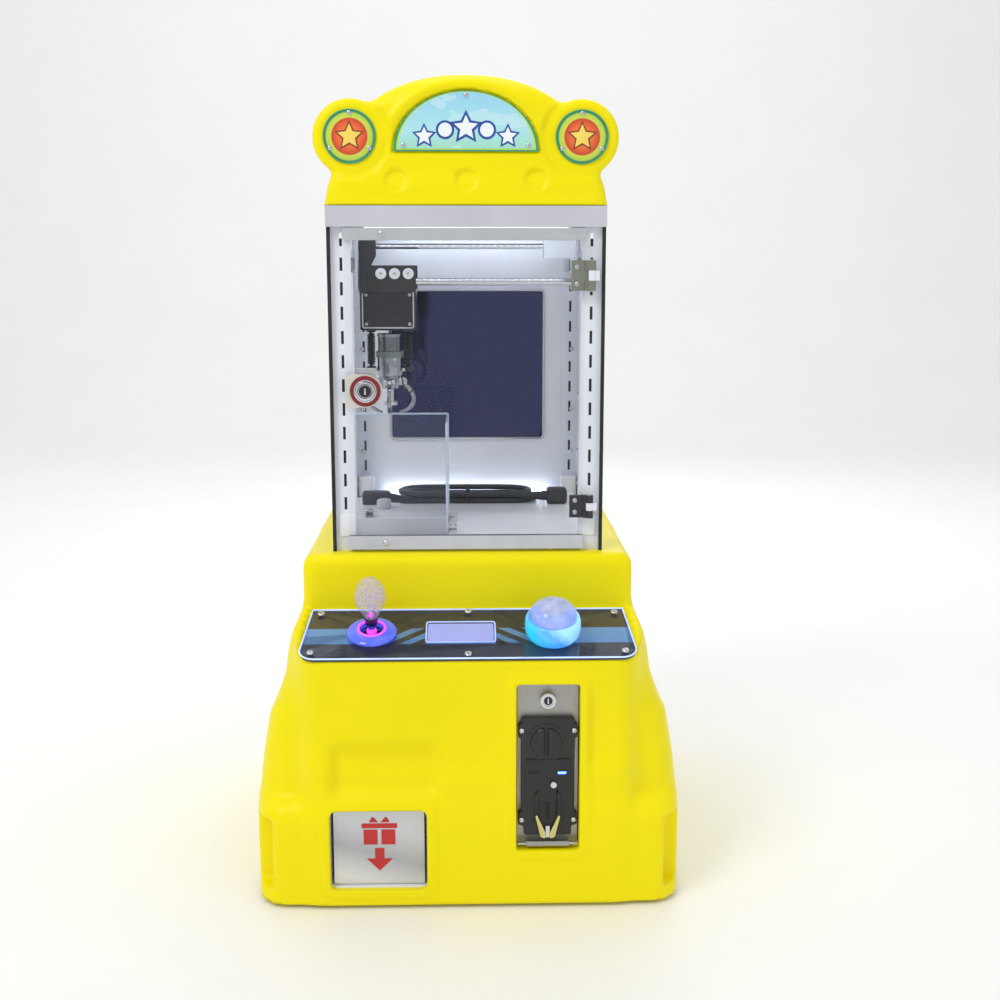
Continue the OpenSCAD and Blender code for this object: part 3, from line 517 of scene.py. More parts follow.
conn_z, plug_z = FLOOR_Z + 8.0, FLOOR_Z + 10.0
relief_l = strain_relief("connector_relief", (-HANK_X - 14, lead_y, LOW),
                         (-HANK_X - 44, lead_y, conn_z), 4.0, 6.5)
conn_x = (ends_lo[0], -HANK_X - 43)
connector = rounded_box("mains_connector", (conn_x[0], lead_y - 10, FLOOR_Z + 0.1),
                        (conn_x[1], lead_y + 10, FLOOR_Z + 16), 2.4, "black", "cabinet")
relief_r = strain_relief("plug_relief", (HANK_X + 15, lead_y, LOW + PITCH - 1.2),
                         (HANK_X + 46, lead_y, plug_z), 4.0, 7.0)
plug_x = (HANK_X + 45, ends_hi[0] - 9)
plug = rounded_box("mains_plug", (plug_x[0], lead_y - 11, FLOOR_Z + 0.1),
                   (plug_x[1], lead_y + 11, FLOOR_Z + 20), 4.0, "black", "cabinet")
for side in (-7, 7):
    lathe("plug_pin_%d" % (side > 0), [(0, 0), (2, 0), (2, 7.6), (1.4, 8.8), (0, 8.8)],
                      "chrome", "cabinet", axis_place((plug_x[1], lead_y + side, plug_z), (1, 0, 0)), 16)
for k, y in enumerate((lead_y + PITCH / 2, 2 * HANK_Y - lead_y - PITCH / 2)):
    w, h = PITCH + 0.6, LEAD_D + 0.9
    ring = [(0.0, y + w * math.cos(a), FLOOR_Z + 7.6 + h * math.sin(a) * 0.98)
            for a in np.linspace(0, 2 * math.pi, 33)]
    band = [(dx, py, pz) for dx in (-3.0, 3.0) for _, py, pz in ring[:-1]]
    band += [(dx, y + (py - y) * 0.93, FLOOR_Z + 7.6 + (pz - FLOOR_Z - 7.6) * 0.93)
             for dx in (-3.0, 3.0) for _, py, pz in ring[:-1]]
    n = len(ring) - 1
    faces = []
    for i in range(n):
        j = (i + 1) % n
        faces += [(i, j, n + j, n + i), (2 * n + j, 2 * n + i, 3 * n + i, 3 * n + j),
                  (j, i, 2 * n + i, 2 * n + j), (n + i, n + j, 3 * n + j, 3 * n + i)]
    mesh_piece("lead_tie_%d" % (k + 1), band, faces, "rubber", "cabinet")


# ------------------------------------------------------------------ moulded shells


def smin(a, b, k):
    """Union of two distance fields with a fillet."""
    h = np.clip(0.5 + 0.5 * (b - a) / k, 0, 1)
    return b + (a - b) * h - k * h * (1 - h)


def smax(a, b, k):
    return -smin(-a, -b, k)


def box_field(x, y, z, low, high, r):
    half = [(high[i] - low[i]) / 2 - r for i in range(3)]
    q = [np.abs(v - (low[i] + high[i]) / 2) - half[i] for i, v in enumerate((x, y, z))]
    outside = np.sqrt(sum(np.maximum(v, 0) ** 2 for v in q))
    return outside + np.minimum(np.maximum(np.maximum(q[0], q[1]), q[2]), 0) - r


def gauss(u, v, su, sv):
    return np.exp(-(u / su) ** 2 - (v / sv) ** 2)


def ramp_up(v, start, end):
    t = np.clip((v - start) / (end - start), 0, 1)
    return t * t * (3 - 2 * t)


def surface_net(field, xs, ys, zs):
    """Quad mesh of a field's zero surface on a grid, moved onto the surface."""
    grid = np.meshgrid(xs, ys, zs, indexing="ij")
    value = field(*grid)
    inside = value < 0
    shape = np.array(value.shape) - 1
    total = np.zeros((*shape, 3))
    count = np.zeros(tuple(shape))
    corner = [(i, j, k) for i in (0, 1) for j in (0, 1) for k in (0, 1)]
    for a in corner:
        for axis in range(3):
            if a[axis]:
                continue
            b = tuple(v + (1 if n == axis else 0) for n, v in enumerate(a))
            sa = tuple(slice(v, v + m) for v, m in zip(a, shape))
            sb = tuple(slice(v, v + m) for v, m in zip(b, shape))
            cross = inside[sa] != inside[sb]
            va, vb = value[sa][cross], value[sb][cross]
            t = va / (va - vb)
            for n in range(3):
                pa, pb = grid[n][sa][cross], grid[n][sb][cross]
                total[..., n][cross] += pa + (pb - pa) * t
            count[cross] += 1
    active = count > 0
    index = -np.ones(tuple(shape), int)
    index[active] = np.arange(active.sum())
    points = total[active] / count[active][:, None]
    quads = []
    for axis in range(3):
        u, v = (axis + 1) % 3, (axis + 2) % 3
        low = [slice(1, m) for m in shape]
        low[axis] = slice(0, shape[axis])
        high = list(low)
        high[axis] = slice(1, shape[axis] + 1)
        a, b = inside[tuple(low)], inside[tuple(high)]
        where = np.argwhere(a != b)
        flip = a[tuple(where.T)]
        base = where + np.array([0 if n == axis else 1 for n in range(3)])
        du, dv = np.eye(3, dtype=int)[u], np.eye(3, dtype=int)[v]
        ring = [index[tuple((base - o).T)] for o in (du + dv, dv, 0 * du, du)]
        quad = np.stack(ring, 1)
        quad[~flip] = quad[~flip][:, ::-1]
        quads.append(quad)
    quads = np.concatenate(quads)
    for _ in range(4):
        d, n = field_normal(field, points)
        points -= n * np.clip(d, -2, 2)[:, None]
    return points, quads


def field_normal(field, points, h=0.05):
    x, y, z = points.T
    d = field(x, y, z)
    g = np.stack([field(x + h, y, z) - field(x - h, y, z), field(x, y + h, z) - field(x, y - h, z),
                  field(x, y, z + h) - field(x, y, z - h)], 1) / (2 * h)
    size = np.maximum(np.linalg.norm(g, axis=1), 1e-6)
    return d / size, g / size[:, None]


def shell_piece(name, field, xs, ys, zs, open_at, thickness, body):
    """Hollow moulding: the field's surface without its openings, and the same surface moved inward."""
    points, quads = surface_net(field, xs, ys, zs)
    centres = points[quads].mean(1)
    quads = quads[~open_at(*centres.T)]
    used = np.unique(quads)
    remap = -np.ones(len(points), int)
    remap[used] = np.arange(len(used))
    points, quads = points[used], remap[quads]
    normals = field_normal(field, points)[1]
    count = len(points)
    edges = np.concatenate([quads[:, [i, (i + 1) % 4]] for i in range(4)])
    key = edges.min(1) * count + edges.max(1)
    _, first, times = np.unique(key, return_index=True, return_counts=True)
    rim = edges[first[times == 1]]
    inner = quads[:, ::-1] + count
    rim_quads = np.stack([rim[:, 1], rim[:, 0], rim[:, 0] + count, rim[:, 1] + count], 1)
    faces = np.concatenate([quads, inner, rim_quads])
    verts = np.concatenate([points, points - normals * thickness])
    mesh = bpy.data.meshes.new(name)
    mesh.from_pydata((verts * MM).tolist(), [], faces.tolist())
    mesh.update()
    piece = link(name, mesh, "yellow", body)
    mesh.normals_split_custom_set_from_vertices(np.concatenate([normals, -normals]).tolist())
    return piece


def lines(start, end, step, features=(), fine=(-3.5, -1.2, 1.2, 3.5)):
    """Grid lines at an even step, with extra ones beside each feature."""
    extra = sorted(f + d for f in features for d in fine)
    even = np.linspace(start, end, int(round((end - start) / step)) + 1)
    kept = [v for v in even if all(abs(v - e) > step * 0.45 for e in extra)]
    merged = sorted(kept + extra)
    return np.array([v for i, v in enumerate(merged) if not i or v - merged[i - 1] > 0.5])


def slab_field(x, y, z, half, y0, y1, r, top, k):
    """Upright body: rounded rectangle in plan, closed softly at the top."""
    qx = np.abs(x) - (half - r)
    qy = np.abs(y - (y0 + y1) / 2) - ((y1 - y0) / 2 - r)
    plan = np.hypot(np.maximum(qx, 0), np.maximum(qy, 0)) + np.minimum(np.maximum(qx, qy), 0) - r
    return smax(plan, z - top, k)


def rect_field(u, v, low, high, r):
    """Signed distance to a rounded rectangle in two dimensions."""
    qu = np.abs(u - (low[0] + high[0]) / 2) - (high[0] - low[0]) / 2 + r
    qv = np.abs(v - (low[1] + high[1]) / 2) - (high[1] - low[1]) / 2 + r
    return np.hypot(np.maximum(qu, 0), np.maximum(qv, 0)) + np.minimum(np.maximum(qu, qv), 0) - r


# Base: driving places, from the CAD nodes
base_lo, base_hi = lo_hi("base_shell")
FRONT, REAR = base_lo[1], base_hi[1]
SHOULDER_Z = base_hi[2]
HALF_BASE = base_hi[0]
HALF_CORE = 182.0
TILT = math.radians(18.6)
DECK_Z = 280.5
DECK_LEN = 92.0
DECK_STACK = 5.0
SHOULDER_Y = -141.0
HALF_FRONT, HALF_REAR = 177.0, 170.5
STICK, BUTTON, DISPLAY = (-103.0, 45.4), (90.0, 39.0), (-8.0, 50.0)   # across and up the deck
flap_lo, flap_hi = lo_hi("prize_flap")
plate_lo, plate_hi = lo_hi("coin_door")
rear_lo, rear_hi = lo_hi("rear_door")
inlet_lo, inlet_hi = lo_hi("power_inlet")
PRIZE = ((flap_lo[0] - 3, flap_lo[2] - 3), (flap_hi[0] + 3, 111.0))
COIN = ((plate_lo[0] - 1, plate_lo[2] - 2), (plate_hi[0] + 1, plate_hi[2] + 2))
REAR_WINDOW = ((rear_lo[0] - 2, rear_lo[2] - 2), (rear_hi[0] + 2, rear_hi[2] + 2))
INLET = ((inlet_lo[0] + 2, inlet_lo[2] + 2), (inlet_hi[0] - 2, inlet_hi[2] - 2))
FENDER_TOP = 310.0
FENDER_Z = (4, 93, 115, 138, 161, 183, 205, 222, 250, 272, 288, 300, 310)
FENDER_HALF = (230, 230, 230, 228, 225, 221, 217, 208, 199, 196, 192, 186, 176)
NOTCH_LOW, NOTCH_HIGH = (210.0, FRONT - 40, 18.0), (260.0, FRONT + 40, 98.0)


def deck_coords(y, z):
    """Distance up the slope and height above the deck plane."""
    dy, dz = y - FRONT, z - DECK_Z
    return dy * math.cos(TILT) + dz * math.sin(TILT), dz * math.cos(TILT) - dy * math.sin(TILT)


def front_relief(x, z):
    """How far the moulded front face is set back, with its frames and hollows."""
    ax = np.abs(x)
    crease = 137 + 20 * ramp_up(ax, 90, 185)
    back = 2.0 + 5.0 * ramp_up(z, crease, crease + 26) * (1 - ramp_up(z, 215, 276))
    hollow = ramp_up(z, 120, 138) * (1 - ramp_up(z, 160, 192)) * ramp_up(x, -152, -136)
    back += 10.0 * hollow * (1 - ramp_up(x, -44, -20)) - 2.6 * gauss(x + 95, z - 226, 62, 26)
    back -= 2.0 * gauss(ax - 168, z - 170, 11, 95) * (1 - ramp_up(z, 262, 280))
    for low, high in (PRIZE, COIN):
        d = rect_field(x, z, low, high, 7)
        back -= (back - 0.4) * (1 - ramp_up(d, 6, 15))
    return back * (1 - ramp_up(z, 266, 280))


def base_field(x, y, z):
    near = 1 - ramp_up(y, FRONT + 12, FRONT + 60)
    yy = y - front_relief(x, z) * near
    core = slab_field(x, yy, z, HALF_CORE, FRONT, REAR, 30, SHOULDER_Z, 18)
    s, n = deck_coords(y, z)
    half = HALF_FRONT + (HALF_REAR - HALF_FRONT) * s / DECK_LEN
    qx, qs = np.abs(x) - (half - 16), 16 - s
    panel = np.hypot(np.maximum(qx, 0), np.maximum(qs, 0)) + np.minimum(np.maximum(qx, qs), 0) - 16
    deck = n + DECK_STACK + 0.2 - 5.6 * ramp_up(panel, 0.6, 5.5)
    half_fender = np.interp(z, FENDER_Z, FENDER_HALF)
    fender = slab_field(x, y, z, half_fender - 1.5, FRONT + 25, REAR - 3, 34, FENDER_TOP, 10)
    outer = smin(core, fender, 14)
    low_part = smax(outer, deck, 5)
    high_part = smax(outer, SHOULDER_Y - y, 14)
    body = smin(low_part, high_part, 2.5)
    skirt = slab_field(x, yy, z, HALF_BASE - 1.5, FRONT, REAR - 3, 34, 118, 26)
    body = smin(body, skirt, 12)
    notch = box_field(np.abs(x), y, z, NOTCH_LOW, NOTCH_HIGH, 5)
    body = smax(body, -notch, 5)
    for (low, high), r in ((PRIZE, 7), (COIN, 4)):
        hole = np.maximum(rect_field(x, z, low, high, r), y - FRONT - 40)
        body = smax(body, -hole, 2.2)
    for low, high in (REAR_WINDOW, INLET):
        hole = np.maximum(rect_field(x, z, low, high, 3), REAR - 40 - y)
        body = smax(body, -hole, 2.0)
    return smax(body, base_lo[2] - z, 2)


def base_open(x, y, z):
    """Where the moulding has no face: behind its flanges, underneath, and under the cabinet."""
    s, n = deck_coords(y, z)
    bottom = (z < base_lo[2] + 0.8) & (np.abs(x) < 165) & (np.abs(y) < 210)
    in_rect = [rect_field(x, z, low, high, 4) < 1.5 for low, high in (PRIZE, COIN, REAR_WINDOW, INLET)]
    prize = in_rect[0] & (y > FRONT + 5.2) & (y < 0)
    coin = in_rect[1] & (y > FRONT + 17.5) & (y < 0)
    rear = (in_rect[2] | in_rect[3]) & (y < REAR - 6) & (y > 0)
    chute = (z > SHOULDER_Z - 2) & (x > -143) & (x < -22) & (y > -114) & (y < -5)
    deck = (n < 0) & (n > -8) & (y < SHOULDER_Y)
    stick = deck & (np.hypot(x - STICK[0], s - STICK[1]) < 20)
    button = deck & (np.hypot(x - BUTTON[0], s - BUTTON[1]) < 12)
    display = deck & (np.abs(x - DISPLAY[0]) < 40) & (np.abs(s - DISPLAY[1]) < 22)
    return bottom | prize | coin | rear | chute | stick | button | display


span_x = [PRIZE[0][0], PRIZE[1][0], COIN[0][0], COIN[1][0], -NOTCH_LOW[0], NOTCH_LOW[0]]
span_z = [PRIZE[0][1], PRIZE[1][1], COIN[0][1], COIN[1][1], NOTCH_LOW[2], NOTCH_HIGH[2], 370]
grid_x = lines(-236, 236, 5.2, span_x)
grid_z = lines(1, 376, 5.2, span_z)
grid_y = np.concatenate([lines(FRONT - 6, -186, 4.4, [FRONT, NOTCH_HIGH[1]]), lines(-181, -147, 5, []),
                         [-144.5, -142, -139.5, -136, -131], lines(-124, 200, 9),
                         lines(206, 236, 5, [REAR])])
base_shell = shell_piece("base_shell_moulded", base_field, grid_x, grid_y, grid_z, base_open, 4.5, "cabinet")
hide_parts("base_shell")

# Topper
top_lo, top_hi = lo_hi("topper_shell")
sign_lo, sign_hi = lo_hi("sign_panels")
HEAD_FRONT = top_lo[1]
TOPPER_Z, CROWN_Z = top_lo[2], top_hi[2]
WAIST_Z = TOPPER_Z + 26
ARCH_A, ARCH_H, ARCH_N = 140.0, CROWN_Z - WAIST_Z, 2.2
EAR_X, EAR_Z, EAR_R = 122.5, 815.0, 40.0
SIGN_A, SIGN_B, SIGN_Z = 77.0, 62.0, 800.0
DIMPLES = (-74.0, 0.0, 74.0)


def half_moon_field(x, z):
    """Rough signed distance to the marquee's half-moon outline."""
    px, pz = np.abs(x) + 1e-6, np.maximum(z - SIGN_Z, 0)
    reach = np.hypot(px, pz)
    g = np.sqrt((px / SIGN_A) ** 2 + (pz / SIGN_B) ** 2)
    return np.maximum(reach - reach / g, SIGN_Z - z)


def topper_field(x, y, z):
    ax = np.abs(x)
    moon = half_moon_field(x, z)
    back = -3.0 * gauss(moon - 9.5, 0 * z, 6.0, 1.0) * ramp_up(z, SIGN_Z - 6, SIGN_Z + 16)
    back += 3.2 * (1 - ramp_up(moon, 0.4, 3.0))
    back += 3.0 * ramp_up(WAIST_Z + 18 - z, 0, 44) - 3.0 * ramp_up(WAIST_Z - z, 12, 26)
    for dx in DIMPLES:
        back += 4.2 * (1 - ramp_up(np.hypot(x - dx, z - WAIST_Z), 9.0, 14.0))
    back += 6.0 * (1 - ramp_up(np.hypot(ax - EAR_X, z - EAR_Z), 38, 46))
    near = 1 - ramp_up(y, HEAD_FRONT + 8, HEAD_FRONT + 30)
    yy = y - back * near
    rise = np.maximum(z - WAIST_Z, 0)
    reach = np.hypot(ax, rise) + 1e-6
    g = ((ax / ARCH_A) ** ARCH_N + (rise / ARCH_H) ** ARCH_N) ** (1 / ARCH_N) + 1e-6
    arch = np.where(z > WAIST_Z, reach - reach / g, ax - ARCH_A - 8 * (WAIST_Z - z) / 26)
    arch = smax(arch, np.abs(yy - (HEAD_FRONT + 100) / 2) - (100 - HEAD_FRONT) / 2, 20)
    ears = np.hypot(ax - EAR_X, z - EAR_Z) - EAR_R
    ears = smax(ears, np.abs(y + 88) - 30, 9)
    hood_top = np.interp(y, (HEAD_FRONT, 100, 165, 176), (WAIST_Z, WAIST_Z + 20, WAIST_Z, TOPPER_Z + 8))
    hood = smax(ax - 146 - 2 * ramp_up(WAIST_Z - z, 0, 26), z - hood_top, 12)
    hood = smax(hood, np.abs(y - 27.5) - 147.5, 12)
    body = smin(smin(arch, ears, 9), hood, 14)
    return smax(body, TOPPER_Z - z, 1.0)


def topper_open(x, y, z):
    return z < TOPPER_Z + 0.6


topper = shell_piece("topper_moulded", topper_field, lines(-168, 168, 3.6),
                     np.concatenate([lines(HEAD_FRONT - 7, HEAD_FRONT + 28, 2.6), lines(-88, 184, 8)]),
                     lines(TOPPER_Z - 3, CROWN_Z + 4, 3.2, [TOPPER_Z]), topper_open, 4.0, "cabinet")
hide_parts("topper_shell")

# ------------------------------------------------------------------ printed and lit materials


def radial(shader, cx, cz):
    """Distance in the X-Z plane from a point, the same on both sides of X = 0."""
    x, _, z = shader.xyz()
    dx = shader.math("SUBTRACT", shader.math("ABSOLUTE", x), cx * MM)
    dz = shader.math("SUBTRACT", z, cz * MM)
    return shader.math("SQRT", shader.math("ADD", shader.math("MULTIPLY", dx, dx),
                                           shader.math("MULTIPLY", dz, dz)))


shader = Shader("deck_print", (0.02, 0.02, 0.03), 0.22, Coat_Weight=0.6, Coat_Roughness=0.06)
px, py, pz = shader.xyz()
rise = shader.math("MULTIPLY", shader.math("SUBTRACT", pz, DECK_Z * MM), math.sin(TILT))
slope = shader.math("MULTIPLY_ADD", shader.math("SUBTRACT", py, FRONT * MM), math.cos(TILT), rise)
bands = shader.ramp(shader.math("MULTIPLY", slope, 1 / (DECK_LEN * MM)), [
    (0.0, (0.012, 0.014, 0.035)), (0.31, (0.012, 0.014, 0.035)), (0.32, (0.09, 0.27, 0.58)),
    (0.62, (0.12, 0.33, 0.66)), (0.63, (0.035, 0.026, 0.026)), (1.0, (0.045, 0.035, 0.032))])
side = shader.math("ABSOLUTE", shader.math("SUBTRACT", px, DISPLAY[0] * MM))
slant = shader.math("ADD", side, shader.math("MULTIPLY", slope, 1.35))
stripe = shader.below(shader.math("MODULO", slant, 0.026), 0.013)
near_display = shader.below(shader.math("ABSOLUTE", shader.math("SUBTRACT", side, 0.060)), 0.024)
mask = shader.math("MULTIPLY", stripe, near_display)
dots = shader.node("ShaderNodeTexVoronoi", Vector=shader.coords, Scale=220.0).outputs["Distance"]
speck = shader.ramp(dots, [(0.10, (0.045, 0.06, 0.12)), (0.16, (0.012, 0.012, 0.02))])
shader.color(shader.mix(mask, bands, speck))
M["deck_print"] = shader.rough(0.18, 0.28, 40.0).material

shader = Shader("display_window", (0.30, 0.33, 0.75), 0.2)
cells = shader.node("ShaderNodeTexBrick", Vector=shader.coords, Scale=160.0).outputs["Fac"]
shader.color(shader.mix(cells, (0.38, 0.42, 0.85), (0.30, 0.33, 0.72)))
M["display"] = shader.glow((0.36, 0.38, 0.92), 0.30).rough(0.15, 0.25, 90.0).material

shader = Shader("edge_light", (0.6, 0.8, 1.0), 0.3).vary((0.55, 0.75, 1.0), 0.2, 30.0)
M["edge_light"] = shader.glow((0.30, 0.34, 1.0), 0.7).material
shader = Shader("blue_dish", (0.06, 0.12, 0.75), 0.12, Alpha=0.82, Coat_Weight=0.5)
M["blue_dish"] = shader.vary((0.10, 0.16, 0.85), 0.35, 60.0).glow((0.10, 0.16, 0.95), 0.35).material
shader = Shader("magenta_light", (0.9, 0.1, 0.8), 0.3).vary((0.9, 0.15, 0.8), 0.2, 90.0)
M["magenta"] = shader.glow((0.70, 0.02, 0.95), 1.1).material

shader = Shader("button_bowl", (0.05, 0.45, 0.85), 0.12, Coat_Weight=0.6, Coat_Roughness=0.05)
px, py, pz = shader.xyz()
shade = shader.math("MULTIPLY_ADD", px, 16.0, shader.math("MULTIPLY_ADD", pz, 12.0, -4.55))
shade = shader.math("MULTIPLY_ADD", shader.noise(36.0), 0.6, shade)
bowl_colors = shader.ramp(shade, [(0.05, (0.02, 0.75, 0.62)), (0.4, (0.02, 0.48, 0.80)),
                                  (0.75, (0.06, 0.28, 0.90)), (1.0, (0.25, 0.55, 1.0))])
shader.color(bowl_colors)
shader.tree.links.new(bowl_colors, shader.bsdf.inputs["Emission Color"])
shader.bsdf.inputs["Emission Strength"].default_value = 0.75
M["button_bowl"] = shader.material

shader = Shader("button_dome", (0.42, 0.48, 0.85), 0.06, IOR=1.45, Alpha=0.62, Coat_Weight=0.5)
shader.vary((0.46, 0.52, 0.88), 0.3, 90.0).bump(shader.noise(140.0), 0.0006, 0.3)
M["button_dome"] = shader.glow((0.45, 0.50, 1.0), 0.10).material
shader = Shader("crystal", (0.62, 0.60, 0.72), 0.05, IOR=1.46, Alpha=0.28, Coat_Weight=0.6)
M["crystal"] = shader.vary((0.60, 0.58, 0.72), 0.08, 120.0).material
# Painted light: the bubbles glow faintly purple, though they are no lamp, for the light of the knob's lamp
# falling on them.
shader = Shader("bubbles", (0.72, 0.66, 0.90), 0.08)
M["bubble"] = shader.vary((0.70, 0.62, 0.90), 0.35, 500.0).glow((0.5, 0.2, 0.9), 0.10).material
shader = Shader("blue_led", (0.1, 0.2, 1.0), 0.2).vary((0.1, 0.2, 1.0), 0.1, 400.0)
M["blue_led"] = shader.glow((0.05, 0.12, 1.0), 7.0).material

shader = Shader("flap_panel_painted_reflection", (0.55, 0.56, 0.60), 0.16, 0.55, Coat_Weight=0.5, Coat_Roughness=0.05)
px, py, pz = shader.xyz()
# Painted reflection: the flap's colour runs light at the lower left, dark across the middle and mid grey
# towards the top, for the highlight and reflection on its glossy face.
painted_reflection = shader.math("MULTIPLY_ADD", pz, 11.0, shader.math("MULTIPLY", px, 3.0))
shader.color(shader.ramp(painted_reflection, [(0.0, (0.72, 0.73, 0.76)), (0.35, (0.42, 0.43, 0.47)),
                                 (0.7, (0.60, 0.61, 0.65))]))
M["flap"] = shader.rough(0.10, 0.22, 30.0).material
shader = Shader("tinted_mirror", (0.05, 0.05, 0.13), 0.07, 1.0)
specks = shader.node("ShaderNodeTexVoronoi", Vector=shader.coords, Scale=230.0).outputs["Distance"]
shader.color(shader.ramp(specks, [(0.08, (0.22, 0.24, 0.36)), (0.14, (0.045, 0.047, 0.12))]))
M["tinted"] = shader.rough(0.05, 0.12, 14.0).material

shader = Shader("marquee_print", (0.5, 0.85, 0.8), 0.25, Coat_Weight=0.7, Coat_Roughness=0.05)
px, py, pz = shader.xyz()
height = shader.math("MULTIPLY", shader.math("SUBTRACT", pz, SIGN_Z * MM), 1 / (SIGN_B * MM))
sky = shader.ramp(height, [(0.0, (0.36, 0.75, 0.52)), (0.35, (0.42, 0.80, 0.86)), (1.0, (0.30, 0.66, 0.88))])
swirl = shader.noise(26.0, 2.0, (1.0, 1.0, 2.2))
sky = shader.mix(shader.math("MULTIPLY", shader.below(0.56, swirl), 0.35), sky, (0.72, 0.92, 0.93))
M["marquee"] = shader.material
shader.color(sky)
shader.rough(0.2, 0.3, 50.0)
shader = Shader("marquee_border", (0.03, 0.30, 0.16), 0.25).vary((0.04, 0.34, 0.18), 0.15, 60.0)
M["sign_green"] = shader.material
for name, color, rough, amount in (
        ("sign_lime", (0.55, 0.80, 0.10), 0.3, 0.06), ("sign_white", (0.90, 0.95, 0.98), 0.3, 0.03),
        ("sign_blue", (0.02, 0.08, 0.38), 0.3, 0.1), ("star_yellow", (0.98, 0.72, 0.12), 0.28, 0.06),
        ("star_edge", (0.28, 0.05, 0.02), 0.3, 0.1)):
    M[name] = plastic(name, color, rough, amount).material
shader = Shader("badge_print", (0.9, 0.2, 0.05), 0.24, Coat_Weight=0.6, Coat_Roughness=0.05)
ring = shader.math("MULTIPLY", radial(shader, EAR_X, EAR_Z), 1 / 0.028)
badge = shader.ramp(ring, [(0.0, (0.90, 0.22, 0.03)), (0.40, (0.88, 0.16, 0.02)), (0.66, (0.62, 0.04, 0.01)),
                           (0.70, (0.62, 0.74, 0.05)), (0.86, (0.50, 0.66, 0.06)),
                           (0.90, (0.03, 0.30, 0.10)), (1.0, (0.02, 0.24, 0.09))])
shader.color(badge)
M["badge"] = shader.rough(0.2, 0.3, 60.0).material

# ------------------------------------------------------------------ control deck

DECK = up_place(0, FRONT, DECK_Z) @ Matrix.Rotation(TILT, 4, "X")


def deck_place(x, s, n=0.0):
    return DECK @ up_place(x, s, n)


def face_place(x, y, z):
    """Placement whose local X, Y and Z are world X, up and forward."""
    return up_place(x, y, z) @ Matrix.Rotation(math.pi / 2, 4, "X")


def screws(name, places, radius, height, material, body):
    """Pan-head screws with a cross recess, standing on each placement."""
    verts, faces = [], []
    steps, recess = 32, 0.35
    profile = [(0.10, 1.0), (0.22, 1.0), (0.34, 0.99), (0.46, 0.97), (0.58, 0.93), (0.72, 0.84),
               (0.86, 0.66), (0.95, 0.42), (1.0, 0.12), (1.0, 0.0)]
    for place in places:
        first = len(verts)
        verts.append(place @ Vector((0, 0, height * recess * MM)))
        for share, level in profile:
            for k in range(steps):
                a = 2 * math.pi * (k + 0.5) / steps
                u, v = share * math.cos(a), share * math.sin(a)
                z = level
                if max(abs(u), abs(v)) < 0.62 and min(abs(u), abs(v)) < 0.15:
                    z = recess
                verts.append(place @ (Vector((u * radius, v * radius, z * height)) * MM))
        for k in range(steps):
            faces.append((first, first + 1 + k, first + 1 + (k + 1) % steps))
        for ring in range(len(profile) - 1):
            a = first + 1 + ring * steps
            for k in range(steps):
                n = (k + 1) % steps
                faces.append((a + k, a + steps + k, a + steps + n, a + n))
        last = first + 1 + (len(profile) - 1) * steps
        faces.append(tuple(last + k for k in reversed(range(steps))))
    piece = mesh_piece(name, [tuple(v / MM) for v in verts], faces, material, body, False)
    sharp_by_angle(piece.data, 40)
    return piece


deck_screw_places = [deck_place(k * (HALF_FRONT - 12), 10) for k in (-1, 1)]
deck_screw_places += [deck_place(k * (HALF_REAR - 10), DECK_LEN - 9) for k in (-1, 1)]
deck_screw_places += [deck_place(0, 6), deck_place(0, DECK_LEN - 6)]
screws_deck = screws("deck_screws", deck_screw_places, 4.0, 1.6, "chrome", "cabinet")
badge_screw_places = [face_place(side * EAR_X + 24 * math.cos(math.radians(a)), HEAD_FRONT,
                                 EAR_Z + 24 * math.sin(math.radians(a)))
                      for side in (-1, 1) for a in (90, 210, 330)]
sign_screw_places = [face_place(x, sign_lo[1], SIGN_Z + z) for x, z in ((-66, 6), (0, 57), (66, 6))]
screws("sign_screws", badge_screw_places + sign_screw_places, 2.6, 1.5, "chrome", "cabinet")
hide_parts("cover_screws")

# clear cover with its lit edge
outline = (arc(-HALF_FRONT + 16, 16, 16, 180, 270, 8) + arc(HALF_FRONT - 16, 16, 16, 270, 360, 8)
           + [(HALF_REAR, DECK_LEN), (-HALF_REAR, DECK_LEN)])
outline.reverse()
edge_path = [tuple((DECK @ (Vector((x, y, -1.5)) * MM)) / MM) for x, y in reversed(outline)]
edge_path = edge_path + edge_path[:1]
dense = []
for a, b in zip(edge_path, edge_path[1:]):
    cuts = max(1, int(math.dist(a, b) / 8))
    dense += [tuple(np.array(a) + (np.array(b) - np.array(a)) * k / cuts) for k in range(cuts)]
tube("deck_edge_light", dense + dense[:1], 0.85, "edge_light", "cabinet", 10)
paint("deck_panel", "deck_print")
paint("deck_cover", "acrylic")
paint("display_module", "display")
frame_outer = round_outline(DISPLAY[0] - 37, DISPLAY[1] - 19, DISPLAY[0] + 37, DISPLAY[1] + 19, 3)
rim_line = [tuple((DECK @ (Vector((x, y, -2.6)) * MM)) / MM) for x, y in frame_outer + frame_outer[:1]]
tube("display_rim", rim_line, 0.7, "edge_light", "cabinet", 8)

# joystick: lit dish, shaft and bubble knob
stick_at, button_at = deck_place(*STICK), deck_place(*BUTTON)
dish = lathe("joystick_dish", [(13, 0.1), (26.3, 0.1), (26.5, 0.6), (26.5, 1.6), (26, 2.3), (23, 4.3),
                               (19.5, 5.3), (16, 5.9), (13.8, 6), (13, 5.4)],
             "blue_dish", "cabinet", stick_at, 64)
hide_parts("joystick_collar")
lathe("joystick_light_ring", [(13.1, 4.0), (15.6, 4.0), (15.6, 6.3), (14.9, 7.0), (13.8, 7.0), (13.1, 6.3)],
      "magenta", "cabinet", stick_at, 48)
